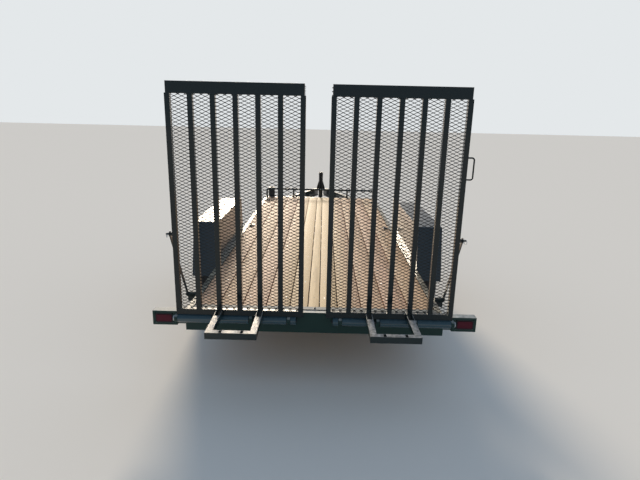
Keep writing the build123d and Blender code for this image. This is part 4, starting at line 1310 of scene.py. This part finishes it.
@dataclass
class SpringHardware:
    """U-bolts, tie plates and spring bolts of the two axles."""

    axle_spread_half: float = 425.5 * MM
    spring_width: float = 44 * MM
    fork_plate: float = 7 * MM
    eye_radius: float = 18 * MM
    eye_height: float = 422 * MM
    eye_bolt: float = 22 * MM
    tube_bottom: float = 253 * MM
    leaf_top: float = 380 * MM
    bolt_tail: float = 24 * MM
    bolt_radius: float = 6.5 * MM
    bolt_offset: float = 48 * MM
    nut_size: float = 19 * MM
    plate_thickness: float = 10 * MM
    plate_margin: float = 34 * MM

    def spring_x(self, side: Side) -> float:
        """X of the middle of a side's springs."""
        return side.value * (span("leaf_springs")[1].x - self.spring_width / 2)

    def u_bolts(self) -> None:
        """Clamp each spring to its axle with two U-bolts over a tie plate."""
        half = self.spring_width / 2 + self.bolt_radius
        plate_z = self.tube_bottom - self.plate_thickness / 2
        foot_z = plate_z - self.bolt_tail
        leg = self.leaf_top - half - foot_z
        plate = (2 * half + self.plate_margin, 2 * self.bolt_offset + self.plate_margin, self.plate_thickness)
        offsets = (-self.bolt_offset, self.bolt_offset)
        parts = []
        for axle in AxlePlace:
            for side in Side:
                y = span(f"tyre_{axle.label}_{side.label}")[2].y
                x = self.spring_x(side)
                feet = [at(x - half, y + dy, foot_z) for dy in offsets]
                seats = [
                    facing((x + sx * half, y + dy, plate_z - self.plate_thickness / 2), -UP)
                    for sx in (-1, 1) for dy in offsets
                ]
                parts += [
                    (block(plate, 1 * MM), [at(x, y, plate_z)]),
                    (bent_rod(self.bolt_radius, ((leg, 0), (half, 180), (leg, 0))), feet),
                    (hex_bolt(self.nut_size), seats),
                ]
        fit("u_bolts", ZINC, "axle_rear", *parts)

    def eye_bolts(self) -> None:
        """Put a bolt head and a nut at the two ends of each spring pin."""
        _, high, middle = span("leaf_springs")
        half_fork = self.spring_width / 2 + self.fork_plate
        outer = high.y - middle.y - self.eye_radius
        inner = 2 * self.axle_spread_half - outer
        places = []
        for side in Side:
            for dy in (-outer, -inner, 0, inner, outer):
                half = half_fork if dy else half_fork + self.fork_plate
                for way in (-1, 1):
                    point = (self.spring_x(side) + way * half, middle.y + dy, self.eye_height)
                    places.append(facing(point, way * RIGHT, 0.4))
        fit("spring_bolt_heads", ZINC, "leaf_springs", (hex_bolt(self.eye_bolt, washer=False), places))

    def build(self) -> None:
        """Make the U-bolts and the spring bolts."""
        self.u_bolts()
        self.eye_bolts()


@dataclass
class TailLamps:
    """Red lamps in rubber grommets inside the two boxes at the rear corners."""

    rounding: float = 9 * MM
    rim: float = 3 * MM
    step: float = 2 * MM
    # The ring fills the pocket round the lens, and its lip stands out of the pocket
    grommet_wall: float = 11 * MM
    grommet_depth: float = 16 * MM
    grommet_edge: float = 1.5 * MM
    lip_angle: float = 1.0

    def build(self) -> None:
        """Make the two lenses and their grommets."""
        node = "tail_lamps"
        low, high, middle = span(node)
        width = high.x - measures(node, lambda place: abs(place.x), lambda place: place.x > 0)[0]
        size = (width, high.y - low.y, high.z - low.z)
        lenses, rings = [], []
        for side in Side:
            x = high.x - width / 2 if side is Side.RIGHT else low.x + width / 2
            lenses.append((self.lens(size), [at(x, middle.y, middle.z)]))
            rings.append((self.grommet(size), [at(x, high.y, middle.z)]))
        fit("lamp_lenses", LENS, node, *lenses, stands_for=True)
        fit("lamp_grommets", GROMMET, node, *rings)

    def lens(self, size: tuple[float, float, float]) -> Shape:
        """Rounded lens with a stepped face.

        Args:
            size: Lengths along X, Y and Z.

        Returns:
            The lens about the origin, facing -Y.
        """
        width, depth, height = size
        shape = block(size)
        corners = [edge for edge in shape.edges if abs(edge.verts[0].co.y - edge.verts[1].co.y) > depth / 2]
        rounded(shape, corners, self.rounding, 5)
        for inset, sink in ((self.rim, 0.0), (self.step, self.step)):
            face = [
                face for face in shape.faces
                if face.normal.y < -0.9 and face.calc_area() > 0.5 * width * height
            ]
            bmesh.ops.inset_region(shape, faces=face, thickness=inset, depth=-sink, use_even_offset=True)
        return shape

    def grommet(self, size: tuple[float, float, float]) -> Shape:
        """Rubber ring round the lens.

        Args:
            size: The lens's lengths along X, Y and Z.

        Returns:
            The ring, from the origin's plane towards -Y.
        """
        shape = bmesh.new()
        bmesh.ops.create_grid(shape, x_segments=1, y_segments=1, size=0.5)
        wall = self.grommet_wall
        bmesh.ops.scale(shape, vec=(size[0] + 2 * wall, size[2] + 2 * wall, 1), verts=shape.verts)
        rounded(shape, shape.verts[:], self.rounding + wall, 6, "VERTICES")
        bmesh.ops.inset_region(
            shape, faces=shape.faces[:], thickness=wall, depth=0.0, use_boundary=True, use_even_offset=True
        )
        middle = max(shape.faces, key=lambda face: face.calc_area())
        bmesh.ops.delete(shape, geom=[middle], context="FACES")
        _, moved = extruded(shape, shape.faces[:], keep=True)
        bmesh.ops.translate(shape, vec=(0, 0, self.grommet_depth), verts=moved)
        bmesh.ops.recalc_face_normals(shape, faces=shape.faces)
        lips = [
            edge for edge in shape.edges
            if min(vertex.co.z for vertex in edge.verts) > self.grommet_depth / 2
            and edge.calc_face_angle(0) > self.lip_angle
        ]
        rounded(shape, lips, self.grommet_edge)
        bmesh.ops.transform(shape, matrix=Matrix.Rotation(QUARTER_TURN, 4, "X"), verts=shape.verts)
        return shape


@dataclass
class TongueHardware:
    """Bolts of the coupler and the jack, the crank's grip and the jack's collars."""

    # Coupler's bolts: places from its rear end, distance from the middle, and size
    base_bolts: tuple[float, float] = (30 * MM, 75 * MM)
    base_bolt_x: float = 38 * MM
    base_bolt: float = 22 * MM
    base_drop: float = 22 * MM
    latch_back: float = 130 * MM
    latch_pin: tuple[float, float] = (4 * MM, 46 * MM)
    latch_ring: tuple[float, float] = (13 * MM, 1.6 * MM)
    grip_length: float = 84 * MM
    grip_back: float = 90 * MM
    grip_ribs: int = 7
    crank_height: float = 150 * MM
    tube: float = 41.5 * MM
    collar_drop: float = 60 * MM
    cap_bolt: float = 19 * MM
    nipple: tuple[float, float] = (4 * MM, 12 * MM)
    nipple_drop: float = 90 * MM

    def coupler_bolts(self) -> None:
        """Bolt the coupler down through its base."""
        low, high, _ = span("coupler")
        places = [
            facing((side.value * self.base_bolt_x, low.y + back, high.z - self.base_drop), UP, 0.2)
            for back in self.base_bolts for side in Side
        ]
        fit("coupler_bolts", ZINC, "coupler", (hex_bolt(self.base_bolt), places))

    def latch(self) -> None:
        """Put a pin with a ring across the coupler's latch."""
        high = span("coupler")[1]
        y, z = high.y - self.latch_back, high.z - self.base_drop
        fit(
            "latch_pin", ZINC, "coupler",
            (rod(*self.latch_pin, 14, 1 * MM), [facing((-self.latch_pin[1] / 2, y, z), RIGHT)]),
            (wire_ring(*self.latch_ring), [at(20 * MM, y, z - 11 * MM)]),
        )

    def crank_grip(self) -> None:
        """Slide a ribbed grip on the crank."""
        length = self.grip_length
        line = [(0, 0), (0, 12 * MM)]
        for k in range(self.grip_ribs):
            x = (k + 0.3) * length / self.grip_ribs
            line += [(x, 13.5 * MM), (x + 4 * MM, 13.8 * MM), (x + 5.5 * MM, 12.4 * MM)]
        line += [(length, 12 * MM), (length + 2 * MM, 9 * MM), (length + 2 * MM, 0)]
        # The crank's height is taken from the coupler's underside
        height = span("coupler")[0].z + self.crank_height
        end = at(0, span("jack_housing")[1].y - self.grip_back, height)
        place = end @ Matrix.Rotation(QUARTER_TURN, 4, "Z")
        fit("crank_grip", BOX_PLASTIC, "jack_housing", (lathe(line, 24), [place]))

    def jack_fittings(self) -> None:
        """Ring the jack's outer tube at its foot, and cap it with a bolt and a grease nipple."""
        node = "jack_housing"
        low, high, _ = span(node)
        y = span("jack_leg")[2].y
        # Place along the tube and height above its wall, in millimetres
        steps = ((0, -1), (0, 3), (2, 4.5), (16, 4.5), (18, 3), (18, -1))
        collar = lathe([(x * MM, self.tube + height * MM) for x, height in steps], 40)
        upright = Matrix.Rotation(-QUARTER_TURN, 4, "Y")
        places = [at(0, y, z) @ upright for z in (low.z, high.z - self.collar_drop)]
        fit("jack_collars", JACK_COAT, node, (collar, places))
        nipple = rod(*self.nipple, 12, 1 * MM, tip=0.6)
        fit(
            "jack_cap_bolt", ZINC, node,
            (hex_bolt(self.cap_bolt), [facing((0, y, high.z - 2 * MM), UP, 0.2)]),
            (nipple, [facing((0, y - self.tube, high.z - self.nipple_drop), -AHEAD)]),
        )

    def build(self) -> None:
        """Make the coupler's bolts, the grip, the latch's pin and the jack's fittings."""
        self.coupler_bolts()
        self.crank_grip()
        self.latch()
        self.jack_fittings()


@dataclass
class FrameWelds:
    """Weld beads where the steel pieces of the frame meet."""

    throat: float = 3.5 * MM
    sunk: float = 0.5 * MM
    stitch: float = 45 * MM
    stitch_pitch: float = 210 * MM
    stitch_drop: float = 20 * MM
    lug_reach: float = 40 * MM
    # How far a bead stays from each end of its seam
    lug_margin: float = 2 * MM
    tongue_margin: float = 4 * MM
    post_radius: float = 16 * MM
    collar_height: float = 5 * MM
    gusset_inner: float = 44 * MM
    gusset_half: float = 5.5 * MM
    gusset_run: float = 38 * MM

    def beads(self, name: str, node: str, *runs: tuple[float, Sequence[Matrix]]) -> None:
        """Lay a piece of beads on a node, by the length of a bead and the places where it is laid."""
        fit(name, FRAME_COAT, node, *[(weld_bead(run, self.throat), places) for run, places in runs])

    def lug_beads(self) -> None:
        """Weld both sides of each hinge lug to the rear sill."""
        sill_low, sill_high, _ = span("front_sill")
        face_y = span("side_rail_left")[0].y - (sill_high.y - sill_low.y)
        node = "rear_sill"

        def on_lug(place: Vector) -> bool:
            """Say whether a place is on a hinge lug."""
            return place.y < face_y - self.lug_reach

        heights = [v.co.z for v in frame["nodes"][node].data.vertices if on_lug(v.co)]
        low, high = min(heights), max(heights)
        places = [
            facing((side.value * x, face_y - self.sunk, low + self.lug_margin), UP)
            for x in measures(node, lambda place: abs(place.x), on_lug) for side in Side
        ]
        self.beads("lug_welds", node, (high - low - 2 * self.lug_margin, places))

    def fender_stitches(self) -> None:
        """Stitch each fender's inner wall to the top of its side rail."""
        x = span("front_sill")[1].x - self.sunk
        z = span("side_rail_left")[1].z - self.stitch_drop
        places = []
        for side in Side:
            low, high, _ = span(f"fender_{side.label}")
            count = int((high.y - low.y - self.stitch_pitch / 2) // self.stitch_pitch)
            ys = [low.y + (k + 0.5) * self.stitch_pitch for k in range(count)]
            places += [facing((side.value * x, y, z), AHEAD) for y in ys]
        self.beads("fender_welds", "fender_left", (self.stitch, places))

    def post_collars(self) -> None:
        """Ring the foot of each post of the front rail."""
        low, high, middle = span("bump_rail")
        half = high.x - self.post_radius
        places = [at(x, middle.y, low.z) for x in (-half, -half / 2, 0, half / 2, half)]
        collar = rod(self.post_radius + self.throat, self.collar_height, 24, 1 * MM, tip=0.86)
        fit("post_welds", FRAME_COAT, "bump_rail", (collar, places))

    def tongue_beads(self) -> None:
        """Weld the tongue to the front sill, and the jack's gussets to their plate."""
        low, high, _ = span("tongue_right")
        foot = (span("front_sill")[1].y + self.sunk, low.z + self.tongue_margin)
        ends = [facing((side.value * high.x, *foot), UP) for side in Side]
        seam = high.z - low.z - 2 * self.tongue_margin
        y = span("jack_leg")[2].y
        z = span("tongue_plate")[1].z + self.sunk
        feet = [
            facing((side.value * self.gusset_inner, y + way * self.gusset_half, z), side.value * RIGHT)
            for side in Side for way in (-1, 1)
        ]
        self.beads("tongue_welds", "tongue_right", (seam, ends), (self.gusset_run, feet))

    def build(self) -> None:
        """Lay all the beads."""
        self.lug_beads()
        self.fender_stitches()
        self.post_collars()
        self.tongue_beads()


@dataclass
class CornerBox:
    """Lid, latch and screws of the small box on the front rail."""

    lid_height: float = 30 * MM
    lid_proud: float = 1.5 * MM
    lid_edge: float = 4 * MM
    latch: tuple[float, float, float] = (24 * MM, 6 * MM, 36 * MM)
    screw: tuple[float, float] = (4 * MM, 2 * MM)
    screw_x: float = 40 * MM
    screw_rows: tuple[float, float] = (14 * MM, 110 * MM)

    def build(self) -> None:
        """Make the lid and what holds it."""
        node = "corner_box"
        low, high, middle = span(node)
        proud = self.lid_proud
        lid = (high.x - low.x + 2 * proud, high.y - low.y + proud, self.lid_height)
        lid_place = at(middle.x, middle.y + proud, high.z - self.lid_height / 2 + proud)
        latch_place = at(middle.x, high.y + 3 * MM, high.z - self.lid_height - 4 * MM)
        fit(
            "corner_box_lid", BOX_PLASTIC, node, (block(lid, self.lid_edge, 3), [lid_place]),
            (block(self.latch, 1.5 * MM), [latch_place]),
        )
        places = [
            facing((middle.x + dx, high.y - 0.3 * MM, low.z + dz), AHEAD)
            for dx in (-self.screw_x, self.screw_x) for dz in self.screw_rows
        ]
        fit("corner_box_screws", ZINC, node, (rod(*self.screw, 14, 0.5 * MM), places))


@dataclass
class Studio:
    """Pale floor, a sky that is blue overhead, a low sun ahead, and the photograph's camera."""

    floor_colour: str = "#f0ebe2"
    floor_size: float = 60.0
    backdrop_colour: str = "#e4e8ea"
    sky_colours: tuple[str, str] = ("#bed4e6", "#fff6ea")
    zenith_colour: str = "#b2c7e1"
    zenith_heights: tuple[float, float] = (0.02, 0.6)
    # World's level behind the trailer and ahead of it
    sky_levels: tuple[float, float] = (0.5, 1.08)
    # Shares of that level at the horizon and overhead
    level_shares: tuple[float, float] = (1.2, 0.8)
    sun_colour: str = "#ffeed6"
    sun_strength: float = 3.7
    sun_distance: float = 12.0
    sun_width: float = math.radians(14)
    sun_height: float = math.radians(18)
    sun_aside: float = math.radians(-9)
    focal_pixels: float = 478.0
    frame_pixels: float = 640.0
    sensor: float = 36.0
    far_clip: float = 200.0
    pitch: float = math.radians(14.85)
    yaw: float = math.radians(-0.18)
    roll: float = math.radians(1.31)
    # Camera's place: aside of the middle, behind the rear sill, and above the ground
    aside: float = 0.042
    behind: float = 3.565
    height: float = 2.152
    sill_depth: float = 49 * MM

    def floor(self) -> None:
        """Lay a large plain floor."""
        shape = bmesh.new()
        bmesh.ops.create_grid(shape, x_segments=1, y_segments=1, size=self.floor_size)
        mesh = bpy.data.meshes.new("studio_floor")
        shape.to_mesh(mesh)
        shape.free()
        floor = bpy.data.objects.new("studio_floor", mesh)
        bpy.context.scene.collection.objects.link(floor)
        material = bpy.data.materials.new("pale_floor")
        material.use_nodes = True
        shader = material.node_tree.nodes["Principled BSDF"]
        feed(shader, {"Base Color": self.floor_colour, "Roughness": 0.9, "Specular IOR Level": 0.0})
        mesh.materials.append(material)

    def sky(self) -> None:
        """Light the world from pale blue behind to warm white ahead, and show a pale backdrop."""
        world = bpy.data.worlds.new("pale_world")
        bpy.context.scene.world = world
        world.use_nodes = True
        tree = world.node_tree
        add = partial(add_node, tree)
        way = add("SeparateXYZ", (add("TexCoord", out="Generated"),)).node.outputs
        ahead = add("MapRange", (way["Y"], -1.0, 1.0))
        overhead = add("MapRange", (way["Z"], *self.zenith_heights))
        level = add("MapRange", (ahead, 0.0, 1.0, *self.sky_levels))
        fade = add("MapRange", (overhead, 0.0, 1.0, *self.level_shares))
        tint = add("ValToRGB", (ahead,), stops=tuple(enumerate(self.sky_colours)))
        sky = tree.nodes["Background"]
        feed(sky, {
            "Color": add("MixRGB", (overhead, tint, self.zenith_colour)),
            "Strength": add("Math", (level, fade), operation="MULTIPLY"),
        })
        backdrop = add("Background", {"Color": self.backdrop_colour, "Strength": 1.0})
        seen = add("LightPath", out="Is Camera Ray")
        choice = add("MixShader", (seen, sky.outputs["Background"], backdrop))
        feed(tree.nodes["World Output"], {"Surface": choice})

    def sun(self) -> None:
        """Hang the soft low sun ahead of the trailer."""
        lamp = bpy.data.lights.new("low_sun", "SUN")
        lamp.energy = self.sun_strength
        lamp.angle = self.sun_width
        lamp.color = linear(self.sun_colour)[:3]
        holder = bpy.data.objects.new("low_sun", lamp)
        bpy.context.scene.collection.objects.link(holder)
        flat = math.cos(self.sun_height)
        towards = Vector(
            (flat * math.sin(self.sun_aside), flat * math.cos(self.sun_aside), math.sin(self.sun_height))
        )
        holder.location = self.sun_distance * towards
        holder.rotation_mode = "QUATERNION"
        holder.rotation_quaternion = (-towards).to_track_quat("-Z", "Y")

    def camera(self) -> None:
        """Stand the camera where the photograph was taken."""
        data = bpy.data.cameras.new("photo_camera")
        data.sensor_width = self.sensor
        data.lens = self.focal_pixels / self.frame_pixels * self.sensor
        data.clip_end = self.far_clip
        camera = bpy.data.objects.new("photo_camera", data)
        bpy.context.scene.collection.objects.link(camera)
        cos_yaw, sin_yaw = math.cos(self.yaw), math.sin(self.yaw)
        cos_pitch, sin_pitch = math.cos(self.pitch), math.sin(self.pitch)
        right = Vector((cos_yaw, -sin_yaw, 0))
        forward = Vector((sin_yaw * cos_pitch, cos_yaw * cos_pitch, -sin_pitch))
        up = Vector((sin_yaw * sin_pitch, cos_yaw * sin_pitch, cos_pitch))
        rolled_right = right * math.cos(self.roll) + up * math.sin(self.roll)
        rolled_up = up * math.cos(self.roll) - right * math.sin(self.roll)
        turn = Matrix((rolled_right, rolled_up, -forward)).transposed().to_4x4()
        sill_rear = span("side_rail_left")[0].y - self.sill_depth
        camera.matrix_world = at(self.aside, sill_rear - self.behind, self.height) @ turn
        bpy.context.scene.camera = camera

    def build(self) -> None:
        """Make the floor, the lights and the camera."""
        self.floor()
        self.sky()
        self.sun()
        self.camera()
        bpy.context.scene.view_settings.view_transform = "Standard"


def main() -> None:
    """Build the sub-assemblies in order."""
    logging.basicConfig(level=logging.INFO, format="%(name)s: %(message)s")
    Studio().build()
    SteelWork().build()
    TimberDeck().build()
    for side in Side:
        RampGate(side).build()
        for axle in AxlePlace:
            TandemWheel(side, axle).build()
    for assembly in (HingePinHeads, SpringHardware, TailLamps, TongueHardware, FrameWelds, CornerBox):
        assembly().build()


if __name__ == "__main__":
    main()
